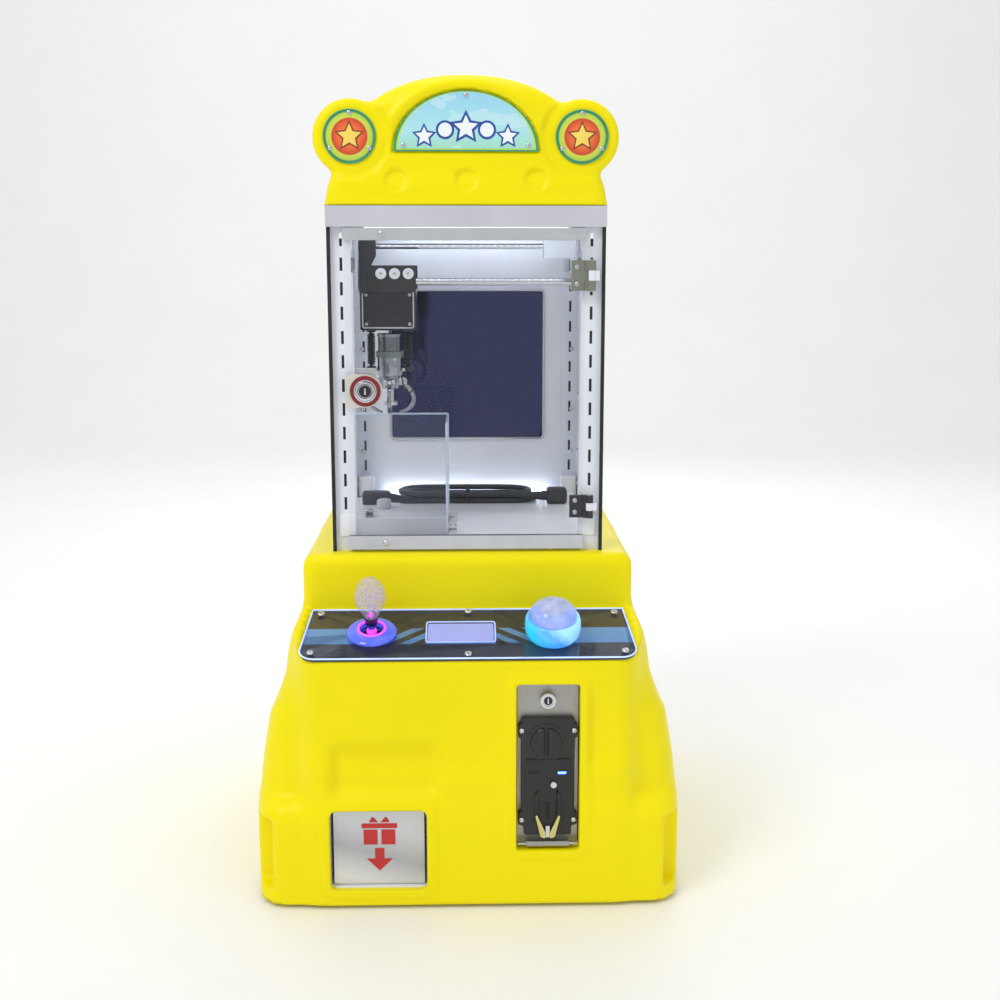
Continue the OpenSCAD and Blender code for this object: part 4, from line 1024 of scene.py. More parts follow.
# Painted light: the dust disc takes the light ring's glowing magenta, though it is no lamp.
lathe("joystick_dust_disc", [(4.2, -0.6), (5.6, -0.6), (5.6, 0.6), (4.6, 3.4), (4.2, 4.4)],
      "magenta", "stick", deck_place(*STICK, 2.0), 40)
neck = [(4.2, 12), (6.6, 12), (7.0, 12.6), (7.0, 18), (7.6, 19.2), (7.6, 20.4), (4.2, 20.4)]
lathe("joystick_neck", neck, "black_gloss", "stick", stick_at, 40)
knob_profile = [(0, 20.5), (6.8, 20.5), (8.0, 22.5), (10.2, 27.5)]
knob_profile += [(17 * math.cos(math.radians(a)), 45 + (20 if a < 0 else 24) * math.sin(math.radians(a)))
                 for a in range(-50, 86, 5)] + [(0, 69)]
knob = lathe("bubble_knob", knob_profile, "crystal", "stick", stick_at, 56, 60)
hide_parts("joystick_knob")


def bubble_cloud(name, count, low_r, high_r, material, body, place, inside):
    """Many small round bubbles in one mesh."""
    bm = bmesh.new()
    made = 0
    while made < count:
        spot = rng.uniform((-15, -15, 22), (15, 15, 67))
        if not inside(spot):
            continue
        made += 1
        bmesh.ops.create_icosphere(bm, subdivisions=2, radius=float(rng.uniform(low_r, high_r)),
                                   matrix=Matrix.Translation(Vector(spot)))
    return from_bmesh(name, bm, material, body, place, 0.0, 1, 80)


def in_knob(spot):
    x, y, z = spot
    if z < 34:
        return math.hypot(x, y) < 5.5 + (z - 22) * 0.35
    return (math.hypot(x, y) / 14.6) ** 2 + ((z - 46) / 20.0) ** 2 < 1


bubble_cloud("knob_bubbles", 240, 0.5, 1.1, "bubble", "stick", stick_at, in_knob)
lathe("knob_lamp", [(0, 21), (2.6, 21), (2.6, 24), (2.0, 25.5), (0, 26)], "magenta", "stick",
      stick_at, 24)
paint("joystick_shaft", "chrome")
paint("joystick_gimbal", "steel")
paint("joystick_housing", "black")

# dome button
bowl = [(6.4, 0.1), (22, 0.1), (26, 0.6), (28.2, 3.5), (29.4, 8), (30, 14), (29.6, 19), (28.6, 22.4),
        (27.4, 23.8), (26.4, 24), (25.8, 23.6), (25.5, 22), (25.4, 3), (6.4, 3)]
bezel = lathe("button_bowl", bowl, "button_bowl", "cabinet", button_at, 96)
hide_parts("button_bezel")
dome = [(0, 8), (25, 8), (25, 25.6)]
dome += [(25 * math.cos(math.radians(a)), 26 + 16.6 * math.sin(math.radians(a))) for a in range(6, 88, 6)]
dome += [(0, 42.6)]
button_dome = lathe("button_dome", dome, "button_dome", "button", button_at, 96, 60)
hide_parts("drop_button")
lathe("button_stem", [(0, -24), (5.9, -24), (5.9, 7.9), (0, 7.9)], "white_plastic", "button",
      button_at, 32)
lathe("button_flare", [(0, 41.2), (6, 40.9), (12, 39.2), (16.5, 36.2), (16, 35.4), (11, 37.6), (5, 39.0),
                       (0, 39.4)], "sign_white", "button", button_at, 48)
paint("button_switch", "black")

# ------------------------------------------------------------------ coin door and prize flap

COIN_X = (plate_lo[0] + plate_hi[0]) / 2
LOCK_Z = plate_hi[2] - 17.5
paint("coin_door", "coin_steel")
PLATE_BACK, PLATE_FRONT = -216.0, -224.0     # faces of the coin acceptor
ENTRY_R, ENTRY_Z = 17.0, 184.0               # rounded lips of the coin entry


def face_prism(name, outline, back, front, material, body, bevel=0.5, segments=2):
    """Outline of (x, z) points between two Y values, seen from the front."""
    return prism(name, outline, 0.0, back - front, material, body, face_place(0, back, 0), bevel, segments)


def on_plate(name, outline, back, front, material, bevel=0.5, segments=2):
    """Piece of the coin acceptor; heights are measured back from its front face."""
    return face_prism(name, outline, PLATE_FRONT + back, PLATE_FRONT + front, material, "coin_door", bevel,
                      segments)


def mirrored(points, cx):
    return points + [(2 * cx - x, z) for x, z in reversed(points)]


half = [(COIN_X, 80), (COIN_X + 24, 80), (COIN_X + 25.5, 81.5), (COIN_X + 25.5, 90), (COIN_X + 31.5, 92),
        (COIN_X + 31.5, 104), (COIN_X + 28.5, 106), (COIN_X + 28.5, 188), (COIN_X + 31.5, 190),
        (COIN_X + 31.5, 203), (COIN_X + 28.5, 205), (COIN_X + 28.5, 208.5), (COIN_X + 26, 211), (COIN_X, 211)]
acceptor = face_prism("acceptor_plate", mirrored(half, COIN_X)[:-1][1:], PLATE_BACK, PLATE_FRONT, "black",
                      "coin_door", 1.2, 3)
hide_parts("coin_faceplate")
on_plate("acceptor_panel", round_outline(COIN_X - 24, 118, COIN_X + 24, 166, 3), 0.5, -1.2, "black_gloss")
for side, (start, end) in (("left", (97, 263)), ("right", (-83, 83))):
    edge = [(COIN_X - 2 + ENTRY_R * math.cos(math.radians(a)), ENTRY_Z + ENTRY_R * math.sin(math.radians(a)))
            for a in np.linspace(start, end, 25)]
    on_plate("coin_entry_" + side, edge, 0.5, -4, "black_gloss", 2.2, 4)
on_plate("coin_entry_collar", arc(COIN_X - 2, ENTRY_Z, ENTRY_R + 4, 0, 345, 46), 0.5, -1.0, "black", 0.6)
# Painted shade: a thin black strip in the gap between the entry lips stands for the dark inside of the coin
# slit.
on_plate("coin_slit_painted_shade", [(COIN_X - 3.2, 170), (COIN_X - 0.8, 170), (COIN_X - 0.8, 198), (COIN_X - 3.2, 198)],
         -0.9, -1.3, "black", 0.1)
# Painted shade: a dark strip on the panel stands for the recess of the status slot.
on_plate("status_slot_painted_shade", round_outline(COIN_X - 21, 149.2, COIN_X - 8, 152.4, 1.4), -1.0, -1.9, "rubber", 0.3)
on_plate("status_led_bezel", round_outline(COIN_X + 9, 148.4, COIN_X + 21, 153.6, 2.2), -1.0, -2.0,
         "black", 0.4)
on_plate("status_led", round_outline(COIN_X + 10.4, 149.6, COIN_X + 19.6, 152.4, 1.2), -1.9, -2.5,
         "blue_led", 0.3)
for k, (dx, left_top, right_top) in enumerate(((-14, 126, 132), (10, 132, 126))):
    rail = [(COIN_X + dx, 94), (COIN_X + dx + 4, 94), (COIN_X + dx + 4, right_top), (COIN_X + dx, left_top)]
    on_plate("return_rail_%d" % (k + 1), rail, 0.5, -4.2, "black_gloss", 0.8)
# Painted shade: a dark strip between the return rails stands for the recess of the coin return slot.
on_plate("return_slot_painted_shade", round_outline(COIN_X - 2, 97, COIN_X + 2, 128, 1.6), 0.2, -0.4, "rubber", 0.15)
for side in (-1, 1):
    fin = [(COIN_X + side * dx, z)
           for dx, z in ((5, 78), (8, 80), (13.5, 103), (11, 104), (2.2, 84), (2.2, 78))]
    on_plate("return_fin_%d" % (side > 0), fin if side > 0 else fin[::-1], 0.5, -4.8, "return_metal", 0.8, 3)
tongue = [(COIN_X - 2.3, 78.5), (COIN_X + 2.3, 78.5), (COIN_X + 2.3, 92), (COIN_X - 2.3, 92)]
on_plate("return_tongue", tongue, 0.5, -3.8, "chrome", 0.8)
screws("acceptor_screws", [face_place(COIN_X + dx, PLATE_FRONT + 0.2, z)
                           for dx in (-27.8, 27.8) for z in (97, 197)], 2.9, 1.6, "chrome", "coin_door")
reject = lathe("reject_button_cap", [(0, 0), (3.9, 0), (3.9, 9.2), (3.2, 10.4), (0, 10.8)], "chrome",
               "reject_button", face_place(COIN_X + 6, -218.2, 138), 36)
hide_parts("coin_reject_button")
cam_lock = lathe("coin_lock_face", [(6.4, 0), (9, 0), (9, 6.6), (8.4, 7.6), (6.9, 8), (5.6, 7.6), (5.4, 6.8),
                                    (0, 6.8), (0, 0.2), (6.4, 0.2)][::-1], "chrome", "coin_lock",
                 face_place(COIN_X, PLATE_BACK - 0.1, LOCK_Z), 56)
lathe("coin_lock_shell", [(0, -9), (6.4, -9), (6.4, 0), (0, 0)], "steel", "coin_lock",
      face_place(COIN_X, PLATE_BACK, LOCK_Z), 32)
lathe("coin_lock_core", [(0, 6.7), (4.6, 6.7), (4.6, 7.2), (4.2, 7.5), (0, 7.5)], "black_gloss", "coin_lock",
      face_place(COIN_X, PLATE_BACK, LOCK_Z), 40)
face_prism("coin_lock_key_slot", round_outline(COIN_X - 0.7, LOCK_Z - 3.2, COIN_X + 0.7, LOCK_Z + 3.2, 0.5),
           PLATE_BACK - 7.4, PLATE_BACK - 7.7, "chrome", "coin_lock", 0.1)
rounded_box("coin_lock_cam", (COIN_X - 24, -210, LOCK_Z - 5), (COIN_X + 6, -207.5, LOCK_Z + 5), 0.8,
            "steel", "coin_lock")
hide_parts("coin_lock_barrel")
paint("coin_mech", "black")

# prize flap, with a gift and an arrow in place of lettering
paint("prize_flap", "flap")
FLAP_FACE = -221.5
gx, gz = -96.0, 84.0


def flap_print(name, outline):
    return face_prism(name, outline, FLAP_FACE, FLAP_FACE - 0.35, "red", "prize_door", 0.08, 1)


flap_print("gift_box_left", [(gx - 17, gz - 14), (gx - 2, gz - 14), (gx - 2, gz + 3), (gx - 17, gz + 3)])
flap_print("gift_box_right", [(gx + 2, gz - 14), (gx + 17, gz - 14), (gx + 17, gz + 3), (gx + 2, gz + 3)])
flap_print("gift_lid", [(gx - 19, gz + 4.5), (gx + 19, gz + 4.5), (gx + 19, gz + 10), (gx - 19, gz + 10)])
for k, side in enumerate((-1, 1)):
    bow = [(gx + side * (1 + 10 * t), gz + 11.2 + 6.2 * math.sin(math.pi * t) * (0.4 + t))
           for t in np.linspace(0, 1, 12)]
    bow += [(gx + side * (11 - 10 * t), gz + 11.2) for t in (0.35, 0.7)]
    flap_print("gift_bow_%d" % (k + 1), bow if side < 0 else bow[::-1])
flap_print("arrow_down", [(gx - 5, gz - 18), (gx - 5, gz - 30), (gx - 14, gz - 30), (gx, gz - 44),
                          (gx + 14, gz - 30), (gx + 5, gz - 30), (gx + 5, gz - 18)])
paint("prize_chute", "white_paint")
paint("hinge_pins", "steel")
paint("coin_tray", "black")
paint("base_plate", "zinc")
paint("rubber_feet", "rubber")

# ------------------------------------------------------------------ glass cabinet

shader = Shader("door_fittings", (0.6, 0.59, 0.53), 0.4)
px, py, pz = shader.xyz()
hinge = shader.mix(shader.below(pz, 0.5), (0.20, 0.21, 0.17), (0.025, 0.025, 0.035))
lock_plate = shader.ramp(shader.noise(14.0), [(0.3, (0.60, 0.59, 0.52)), (0.7, (0.66, 0.65, 0.58))])
shader.color(shader.mix(shader.below(px, 0.0), hinge, lock_plate))
M["fittings"] = shader.rough(0.34, 0.46, 30.0).bump(shader.noise(1300.0), 0.00005, 0.35).material

posts_lo, posts_hi = lo_hi("corner_posts")
LINTEL = lo_hi("top_frame")[0][2]
PLAY_Z = lo_hi("playfield_floor")[1][2]
guard_lo, guard_hi = lo_hi("prize_guard")
POST_X = posts_hi[0]
for node, key in (("corner_posts", "white_paint"), ("playfield_floor", "playfield"), ("side_glass", "glass"),
                  ("edge_seals", "rubber"), ("rear_wall", "white_paint"), ("rear_mirror", "tinted"),
                  ("top_frame", "grey_paint"), ("led_strips", "led"), ("side_rails", "aluminium"),
                  ("prize_guard", "acrylic"), ("door_glass", "glass"), ("door_rails", "aluminium"),
                  ("door_fittings", "fittings"), ("bridge_frame", "white_paint"),
                  ("bridge_rods", "chrome"), ("carriage_frame", "black_paint"), ("winch_drum", "black")):
    paint(node, key)

GUARD_X, GUARD_Y, GUARD_Z = guard_hi[0] - 1.5, guard_hi[1] - 1.5, guard_hi[2]
edges = [((guard_lo[0] + 1, GUARD_Y, GUARD_Z), (GUARD_X, GUARD_Y, GUARD_Z)),
         ((GUARD_X, guard_lo[1] + 1, GUARD_Z), (GUARD_X, GUARD_Y, GUARD_Z)),
         ((GUARD_X, GUARD_Y, PLAY_Z + 1), (GUARD_X, GUARD_Y, GUARD_Z)),
         ((GUARD_X, guard_lo[1] + 1, PLAY_Z + 1), (GUARD_X, guard_lo[1] + 1, GUARD_Z))]
# the prize guard's clear edges, with their painted glow
for k, (a, b) in enumerate(edges):
    points = [tuple(np.array(a) + (np.array(b) - np.array(a)) * t) for t in np.linspace(0, 1, 9)]
    tube("guard_edge_%d" % (k + 1), points, 1.2, "edge", "cabinet", 8)
clips = [(GUARD_X + 6, GUARD_Y - 20), (GUARD_X + 6, guard_lo[1] + 22), (guard_lo[0] + 26, GUARD_Y + 8)]
for k, (cx, cy) in enumerate(clips):
    rounded_box("guard_clip_%d" % (k + 1), (cx - 5, cy - 6, PLAY_Z), (cx + 5, cy + 6, PLAY_Z + 9), 1.2,
                "chrome", "cabinet")
screws("guard_clip_screws", [up_place(cx, cy, PLAY_Z + 9) for cx, cy in clips], 2.4, 1.4, "steel", "cabinet")

# screws along the slotted posts, on their fronts and sides
screws("post_screws", [face_place(side * (POST_X - 9), posts_hi[1] - 2.2, z) for side in (-1, 1)
                       for z in (403, 442, 498, 576, 654, 708)], 3.0, 1.8, "chrome", "cabinet")
inner_places = []
for side in (-1, 1):
    turn = Matrix.Rotation(math.radians(-90 * side), 4, "Y")
    for z in (402, 446, 520, 602, 688):
        for y in (posts_lo[1] + 30, posts_hi[1] - 27):
            inner_places.append(up_place(side * (POST_X - 2), y, z) @ turn)
screws("post_inner_screws", inner_places, 3.0, 1.8, "chrome", "cabinet")
for k, (sx, sy) in enumerate(((-1, 0), (1, 0), (-1, 1), (1, 1))):
    y0 = posts_hi[1] - 26 if sy else posts_lo[1] + 15
    x0 = sx * (POST_X - 13)
    rounded_box("foot_block_%d" % (k + 1), (x0 - 10, y0, PLAY_Z), (x0 + 10, y0 + 20, PLAY_Z + 26), 2.5,
                "white_plastic", "cabinet")
lathe("floor_knob", [(0, 0), (7, 0), (8.4, 1.2), (9, 3), (9, 9), (8.2, 11), (6, 12), (0, 12.4)],
      "grey_paint", "cabinet", up_place(-104, 60, PLAY_Z), 48)

# dark strips set in the posts behind their slots: painted shade for the dark inside of the slots
bm = bmesh.new()
strip_low, strip_high = posts_lo[2] + 40, LINTEL - 12
POST_FACES = ((-116.0, 1), (172.0, -1))      # outer face of the front and rear posts, and the way in
for side in (-1, 1):
    for y, inward in POST_FACES:
        front_leg = ((side * (POST_X - 11.5), y + inward * 1.2), (3.6, 0.4))
        side_leg = ((side * (POST_X - 1.2), y + inward * 17), (0.4, 3.6))
        for (cx, cy), (wide, deep) in (front_leg, side_leg):
            made = bmesh.ops.create_cube(bm, size=1.0)["verts"]
            bmesh.ops.scale(bm, vec=(wide, deep, strip_high - strip_low), verts=made)
            bmesh.ops.translate(bm, vec=(cx, cy, (strip_high + strip_low) / 2), verts=made)
from_bmesh("post_slot_painted_shade", bm, "rubber", "cabinet", None, 0.1, 1)

# trim round the tinted rear panel
mirror_lo, mirror_hi = lo_hi("rear_mirror")
rim_path = [(x, mirror_lo[1] - 0.4, z) for x, z in
            round_outline(mirror_lo[0], mirror_lo[2], mirror_hi[0], mirror_hi[2], 4, 4)]
tube("mirror_trim", rim_path + rim_path[:1], 1.6, "zinc", "cabinet", 8)

# LED dots along the strips
leds = []
for y, z, down in ((-99, LINTEL - 3, True), (151, LINTEL - 3, True), (164, PLAY_Z + 4, False)):
    for x in np.arange(-104, 105, 8.0):
        leds.append((x, y, z, down))
bm = bmesh.new()
for x, y, z, down in leds:
    made = bmesh.ops.create_cube(bm, size=1.0)["verts"]
    bmesh.ops.scale(bm, vec=(3.4, 3.4, 1.4), verts=made)
    bmesh.ops.translate(bm, vec=(x, y, z - 0.6 if down else z + 0.6), verts=made)
from_bmesh("led_dots", bm, "led_dot", "cabinet", None, 0.35, 1)

# front door: bolts, hinge screws and lock
door_lo = lo_hi("door_glass")[0]
lock_lo, lock_hi = lo_hi("door_lock_barrel")
LOCK = ((lock_lo[0] + lock_hi[0]) / 2, 548.0)
door_lock_at = face_place(LOCK[0], door_lo[1] - 3, LOCK[1])
barrel = lathe("door_lock_face", [(0, -13), (9.4, -13), (9.4, 0), (11, 0), (11, 4.6), (10.2, 5.8), (8.2, 6),
                                  (7.4, 5.2), (7.2, 4.2), (0, 4.2)], "chrome", "front_lock",
               door_lock_at, 64)
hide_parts("door_lock_barrel")
lathe("door_lock_core", [(0, 4.1), (6.6, 4.1), (6.6, 4.8), (6.2, 5.1), (0, 5.1)], "black_gloss", "front_lock",
      door_lock_at, 48)
face_prism("door_lock_slot", round_outline(LOCK[0] - 0.9, LOCK[1] - 3.6, LOCK[0] + 0.9, LOCK[1] + 3.6, 0.7),
           door_lo[1] - 8.0, door_lo[1] - 8.4, "chrome", "front_lock", 0.1)
rounded_box("door_lock_cam", (lock_lo[0], lock_hi[1] - 2.4, LOCK[1] - 6),
            (lock_hi[0], lock_hi[1], LOCK[1] + 24), 0.8, "steel", "front_lock")
ring = [(11.3, 0), (16.4, 0), (16.6, 1.2), (15.8, 2.2), (12, 2.6), (11.3, 2.2)]
lathe("door_lock_ring", ring, "dark_red", "front_door", door_lock_at, 64)
ring2 = [(11.15, 2.0), (12.3, 2.2), (12.3, 3.0), (11.15, 3.2)]
lathe("door_lock_washer", ring2, "chrome", "front_door", door_lock_at, 48)
bolts = [face_place(-90, door_lo[1] - 2, z) for z in (380, 714.5)]
screws("door_rail_bolts", bolts, 3.6, 2.4, "chrome", "front_door")
hinge_screws = [face_place(118, door_lo[1] - 3, z) for z in (414, 427, 662, 680)]
screws("door_hinge_screws", hinge_screws, 2.8, 1.5, "steel", "front_door")

# ------------------------------------------------------------------ gantry and claw

drum_lo = lo_hi("winch_drum")[0]
box_lo, box_hi = lo_hi("carriage_box")
claw_lo, claw_hi = lo_hi("claw_body")
roll_lo, roll_hi = lo_hi("bridge_rollers")
guide_lo, guide_hi = lo_hi("carriage_rollers")
lines_lo = lo_hi("hoist_lines")[0]
HOME = ((box_lo[0] + box_hi[0]) / 2, (box_lo[1] + box_hi[1]) / 2)
COIL_TOP = claw_hi[2]
COIL_LOW = COIL_TOP - 50
CABLE_DX, CABLE_Z = 21.0, lines_lo[2]

carriage = rounded_box("carriage_motor_box", box_lo, box_hi, 1.6, "black_gloss", "carriage")
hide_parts("carriage_box")
frame_path = [(x, box_lo[1] - 0.3, z) for x, z in
              round_outline(box_lo[0] + 3, box_lo[2] + 3, box_hi[0] - 3, box_hi[2] - 3, 2, 4)]
tube("carriage_box_frame", frame_path + frame_path[:1], 0.9, "steel", "carriage", 8)
screws("carriage_box_screws", [face_place(x, box_lo[1], z) for x in (box_lo[0] + 7, box_hi[0] - 7)
                               for z in (box_lo[2] + 7, box_hi[2] - 7)], 2.0, 1.2, "steel", "carriage")
for k, sx in enumerate((-1, 1)):
    lathe("cable_gland_%d" % (k + 1), [(0, 0), (5.6, 0), (5.6, -1.8), (4.6, -2.8), (0, -2.8)], "black",
          "carriage", up_place(HOME[0] + sx * CABLE_DX, HOME[1], box_lo[2]), 24)


def wheel_profile(r, width):
    """Grooved guide wheel with a hub, about its own axle."""
    return [(1.9, 0), (3.2, 0), (3.2, 0.8), (r * 0.62, 0.8), (r * 0.72, 0.2), (r - 0.5, 0.2), (r, 0.8),
            (r, width * 0.34), (r - 1.1, width * 0.42), (r - 1.1, width * 0.58), (r, width * 0.66),
            (r, width - 0.8), (r - 0.5, width - 0.2), (r * 0.72, width - 0.2), (r * 0.62, width - 0.8),
            (3.2, width - 0.8), (3.2, width), (1.9, width)]


guide_x = [box_lo[0] + dx for dx in (24, 39, 54)]
guide_z = (guide_lo[2] + guide_hi[2]) / 2
wheels = [lathe("guide_wheel_%d" % (k + 1), wheel_profile(6, 4), "white_plastic", "carriage",
                face_place(x, guide_hi[1], guide_z), 40) for k, x in enumerate(guide_x)]
screws("guide_wheel_screws", [face_place(x, guide_lo[1] + 0.9, guide_z) for x in guide_x], 2.4, 0.9,
       "chrome", "carriage")
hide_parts("carriage_rollers")
truck = []
for x in (roll_lo[0], roll_hi[0] - 9):
    for y in (roll_lo[1] + 7, roll_hi[1] - 7):
        truck.append(lathe("truck_wheel_%d" % (len(truck) + 1), wheel_profile(7, 9), "white_plastic",
                           "bridge", axis_place((x, y, roll_lo[2] + 7), (1, 0, 0)), 40))
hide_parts("bridge_rollers")
lathe("travel_motor", [(0, 0), (10.5, 0), (11, 0.6), (11, 22), (9, 23.4), (3, 23.6), (3, 26), (0, 26)],
      "steel", "bridge", axis_place((88, HOME[1], 703), (1, 0, 0)), 48)

# lifting coil: wound body, clamp ring and head
wound = [(0, COIL_TOP), (13.4, COIL_TOP), (14.4, COIL_TOP - 0.8), (14.4, COIL_TOP - 3.6),
         (13.2, COIL_TOP - 4)]
for k in range(11):
    z = COIL_TOP - 4.4 - 1.4 * k
    wound += [(13.1, z), (13.9, z - 0.4), (13.9, z - 0.9), (13.1, z - 1.3)]
wound += [(14.2, COIL_TOP - 20), (14.4, COIL_TOP - 20.4), (14.4, COIL_LOW + 4), (13.6, COIL_LOW + 2.4),
          (12.6, COIL_LOW + 2), (12.6, COIL_LOW), (10, COIL_LOW - 0.4), (10, claw_lo[2] + 1),
          (9.2, claw_lo[2]), (4.1, claw_lo[2]), (4.1, COIL_TOP - 15), (0, COIL_TOP - 15)]
coil = lathe("claw_coil", wound, "claw_metal", "claw", up_place(*HOME), 72)
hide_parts("claw_body")
ring_z = COIL_TOP - 27
M["ring_green"] = plastic("ring_green", (0.16, 0.20, 0.20), 0.3).material
lathe("claw_clamp_ring", [(14.3, ring_z), (15.4, ring_z), (15.7, ring_z + 0.5), (15.7, ring_z + 6.5),
                          (15.4, ring_z + 7), (14.3, ring_z + 7)], "ring_green", "claw", up_place(*HOME), 64)
rounded_box("claw_cross_bar", (HOME[0] - CABLE_DX, HOME[1] - 3, CABLE_Z - 4),
            (HOME[0] + CABLE_DX, HOME[1] + 3, CABLE_Z), 0.7, "steel", "claw")
for k, sx in enumerate((-1, 1)):
    x = HOME[0] + sx * CABLE_DX
    lathe("cable_socket_%d" % (k + 1), [(0, -4), (4.6, -4), (5.2, -3.4), (5.2, 1.4), (4.4, 2.2), (0, 2.2)],
          "black", "claw", up_place(x, HOME[1], CABLE_Z), 28)


def catmull(points, cuts=5):
    """Smooth open curve through the points."""
    pts = [np.array(p, float) for p in points]
    pts = [2 * pts[0] - pts[1]] + pts + [2 * pts[-1] - pts[-2]]
    out = []
    for a, b, c, d in zip(pts, pts[1:], pts[2:], pts[3:]):
        for k in range(cuts):
            t = k / cuts
            out.append(tuple(0.5 * (2 * b + (c - a) * t + (2 * a - 5 * b + 4 * c - d) * t * t
                                    + (3 * b - a - 3 * c + d) * t ** 3)))
    return out + [tuple(pts[-2])]


PIVOT_R, PIVOT_Z = 15.0, COIL_LOW - 5
outer_curve = [(13.5, -1), (21, -3.6), (27.5, -9.5), (31.2, -17), (31, -25), (26, -31.5), (19, -34.6),
               (12, -36)]
inner_curve = [(12, -33.6), (18, -32), (24, -28.4), (27.7, -22.6), (27.8, -17.6), (24.6, -11.6), (20, -7.4),
               (15, -4.6)]
for i in range(3):
    azimuth = math.radians(i * 120 - 90)
    radial_place = (up_place(HOME[0], HOME[1], PIVOT_Z) @ Matrix.Rotation(azimuth, 4, "Z")
                    @ Matrix.Rotation(math.pi / 2, 4, "X"))
    body = "finger_%d" % (i + 1)
    blade = prism("claw_finger_blade_%d" % (i + 1), (catmull(outer_curve) + catmull(inner_curve))[::-1],
                  -2.2, 2.2, "claw_metal", body, radial_place, 0.7, 3)
    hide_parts("claw_finger_%d" % (i + 1))
    hub = radial_place @ up_place(PIVOT_R, 0, 0)
    lathe("claw_finger_hub_%d" % (i + 1), [(0, -2.5), (2.8, -2.5), (3.3, -2), (3.3, 2), (2.8, 2.5), (0, 2.5)],
          "chrome", body, hub, 28)
    for k, y in enumerate((-4.3, 4.3)):
        cheek = [(8, -3.5), (15.5, -3.5), (18, -2), (18.5, 1), (17.5, 3.5), (14, 5), (8, 5)]
        prism("claw_cheek_%d_%d" % (i + 1, k + 1), cheek, y - 1.3, y + 1.3, "steel", "claw",
              radial_place, 0.4, 2)
    screws("claw_pivot_screws_%d" % (i + 1), [hub @ up_place(0, 0, 5.6),
                                              hub @ up_place(0, 0, -5.6) @ Matrix.Rotation(math.pi, 4, "X")],
           2.0, 1.0, "chrome", "claw")
paint("claw_plunger", "steel")

# coiled cables and the hoist cord stretch between the carriage and the claw
springs = []
for k, sx in enumerate((-1, 1)):
    turns, steps = 15, 14
    low, high = CABLE_Z + 2, box_lo[2] - 2.6
    path = []
    for j in range(turns * steps + 1):
        share = j / (turns * steps)
        a = 2 * math.pi * j / steps
        r = 3.7 * min(1.0, share * 12, (1 - share) * 12)
        path.append((HOME[0] + sx * CABLE_DX + r * math.cos(a), HOME[1] + r * math.sin(a),
                     high + (low - high) * share))
    springs.append(tube("coiled_cable_%d" % (k + 1), path, 1.05, "cord", None, 8))
hoist = tube("hoist_cord", [(HOME[0], HOME[1], z) for z in np.linspace(drum_lo[2] + 11, COIL_TOP, 12)],
             0.9, "black", None, 10)
for piece in springs:
    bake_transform(piece)
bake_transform(hoist)
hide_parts("hoist_lines")
wire = catmull([(HOME[0] + 21, HOME[1] - 3, CABLE_Z - 2), (HOME[0] + 26, HOME[1] - 6, CABLE_Z - 10),
                (HOME[0] + 27, HOME[1] - 8, CABLE_Z - 21), (HOME[0] + 22, HOME[1] - 9, CABLE_Z - 27),
                (HOME[0] + 16, HOME[1] - 8, CABLE_Z - 22), (HOME[0] + 13, HOME[1] - 6, CABLE_Z - 9)], 6)
tube("coil_wire", wire, 0.9, "cord", "claw", 8)

# ------------------------------------------------------------------ marquee and badges


def half_moon(scale, drop=0.0):
    return [(SIGN_A * scale * math.cos(math.radians(a)),
             SIGN_Z + drop + (SIGN_B * scale) * math.sin(math.radians(a))) for a in range(0, 181, 4)]


def star(cx, cz, outer, inner, turn=90.0, points=5):
    spots = []
    for k in range(points * 2):
        r = inner if k % 2 else outer
        a = math.radians(turn + 180.0 * k / points)
        spots.append((cx + r * math.cos(a), cz + r * math.sin(a)))
    return spots


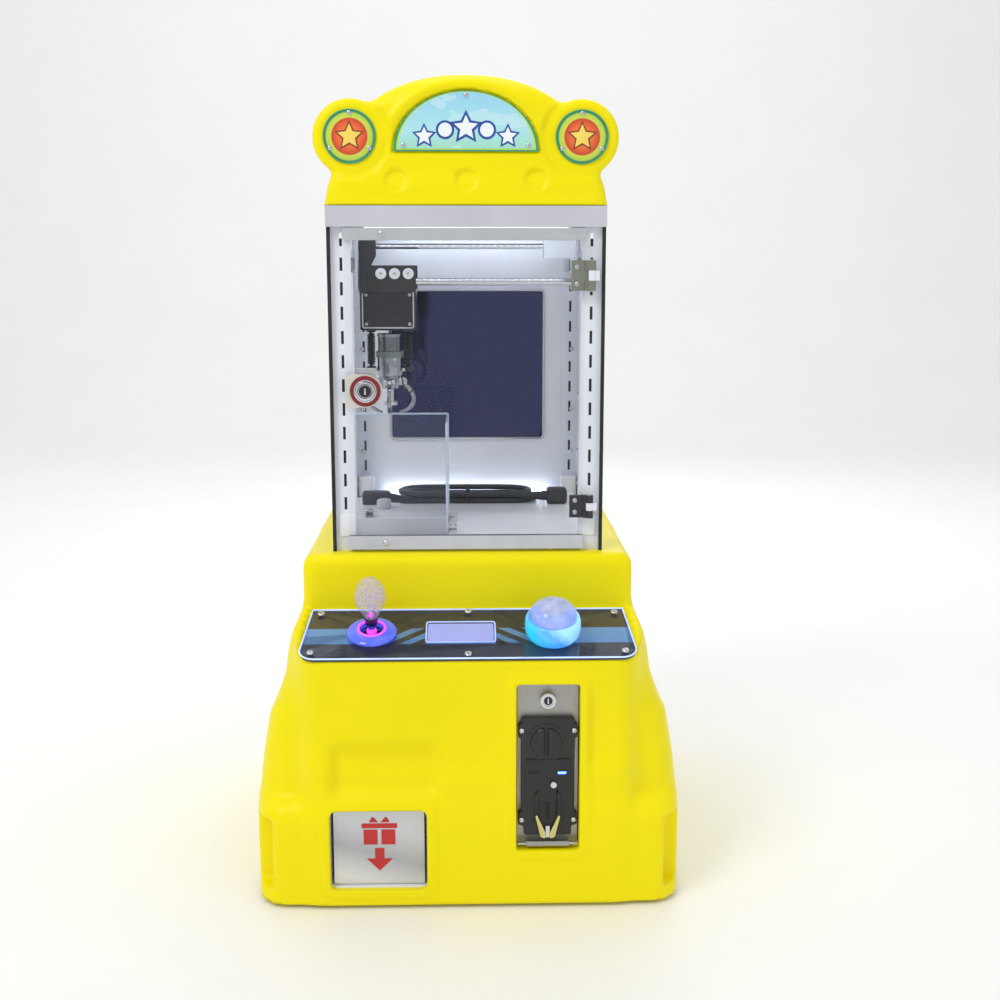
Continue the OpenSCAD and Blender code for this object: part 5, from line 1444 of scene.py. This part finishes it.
sign_back = min(sign_hi[1] - 0.1, HEAD_FRONT + 2)
SIGN_FACE = sign_lo[1]
border = face_prism("marquee_border", half_moon(0.995), sign_back, SIGN_FACE + 0.7, "sign_green",
                    "cabinet", 0.5)
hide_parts("sign_panels")
face_prism("marquee_lime_line", half_moon(0.955, 1.6), SIGN_FACE + 0.8, SIGN_FACE + 0.45, "sign_lime",
           "cabinet", 0.12, 1)
face_prism("marquee_panel", half_moon(0.925, 2.8), SIGN_FACE + 0.6, SIGN_FACE + 0.1, "marquee",
           "cabinet", 0.2, 1)
for k, x in enumerate((-44, -22, 0, 22, 44)):
    z = SIGN_Z + 24 - 0.0045 * x * x
    if k % 2:
        shape = [arc(x, z, r, 0, 354, 59) for r in (9.6, 7.2)]
    else:
        size_s = 1.35 if k == 2 else 1.0
        shape = [star(x, z, 13.4 * size_s, 6.8 * size_s), star(x, z, 9.8 * size_s, 4.6 * size_s)]
    face_prism("marquee_shape_back_%d" % (k + 1), shape[0], SIGN_FACE + 0.2, SIGN_FACE - 0.3,
               "sign_blue", "cabinet", 0.15, 1)
    face_prism("marquee_shape_%d" % (k + 1), shape[1], SIGN_FACE - 0.2, SIGN_FACE - 0.7,
               "sign_white", "cabinet", 0.2, 1)
for k, side in enumerate((-1, 1)):
    x = side * EAR_X
    face_prism("ear_badge_%d" % (k + 1), arc(x, EAR_Z, 28, 0, 355, 71), HEAD_FRONT + 2, HEAD_FRONT,
               "badge", "cabinet", 0.5)
    lathe("ear_badge_rim_%d" % (k + 1), [(26.6, 0), (28, 0), (28, 2.3), (27.6, 2.7), (27, 2.7), (26.6, 2.3)],
          "sign_green", "cabinet", face_place(x, HEAD_FRONT + 2, EAR_Z), 72)
    face_prism("ear_star_back_%d" % (k + 1), star(x, EAR_Z, 16.4, 8.0), HEAD_FRONT + 0.1, HEAD_FRONT - 0.4,
               "star_edge", "cabinet", 0.15, 1)
    face_prism("ear_star_%d" % (k + 1), star(x, EAR_Z, 13.2, 6.2), HEAD_FRONT - 0.3, HEAD_FRONT - 1.0,
               "star_yellow", "cabinet", 0.3, 2)

# ------------------------------------------------------------------ rear and inner fittings

for node, key in (("rear_door", "black_paint"), ("power_inlet", "black"), ("power_rocker", "red"),
                  ("power_supply", "zinc"), ("control_board", "board")):
    paint(node, key)
lock_place = up_place(-84, 230, 185) @ Matrix.Rotation(-math.pi / 2, 4, "X")
lathe("rear_lock_face", [(0, -2), (8.8, -2), (8.8, 0), (7.6, 0.6), (0, 0.6)], "chrome", "rear_door",
      lock_place, 48)
rear_place = [up_place(x, REAR - 0.6, z) @ Matrix.Rotation(-math.pi / 2, 4, "X")
              for x in (-172, -128) for z in (24.0, 60.0)]
screws("inlet_screws", rear_place, 2.6, 1.4, "chrome", "cabinet")

size = {"cad": [list(v) for v in cad_box], "visual": [list(v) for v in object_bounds()]}
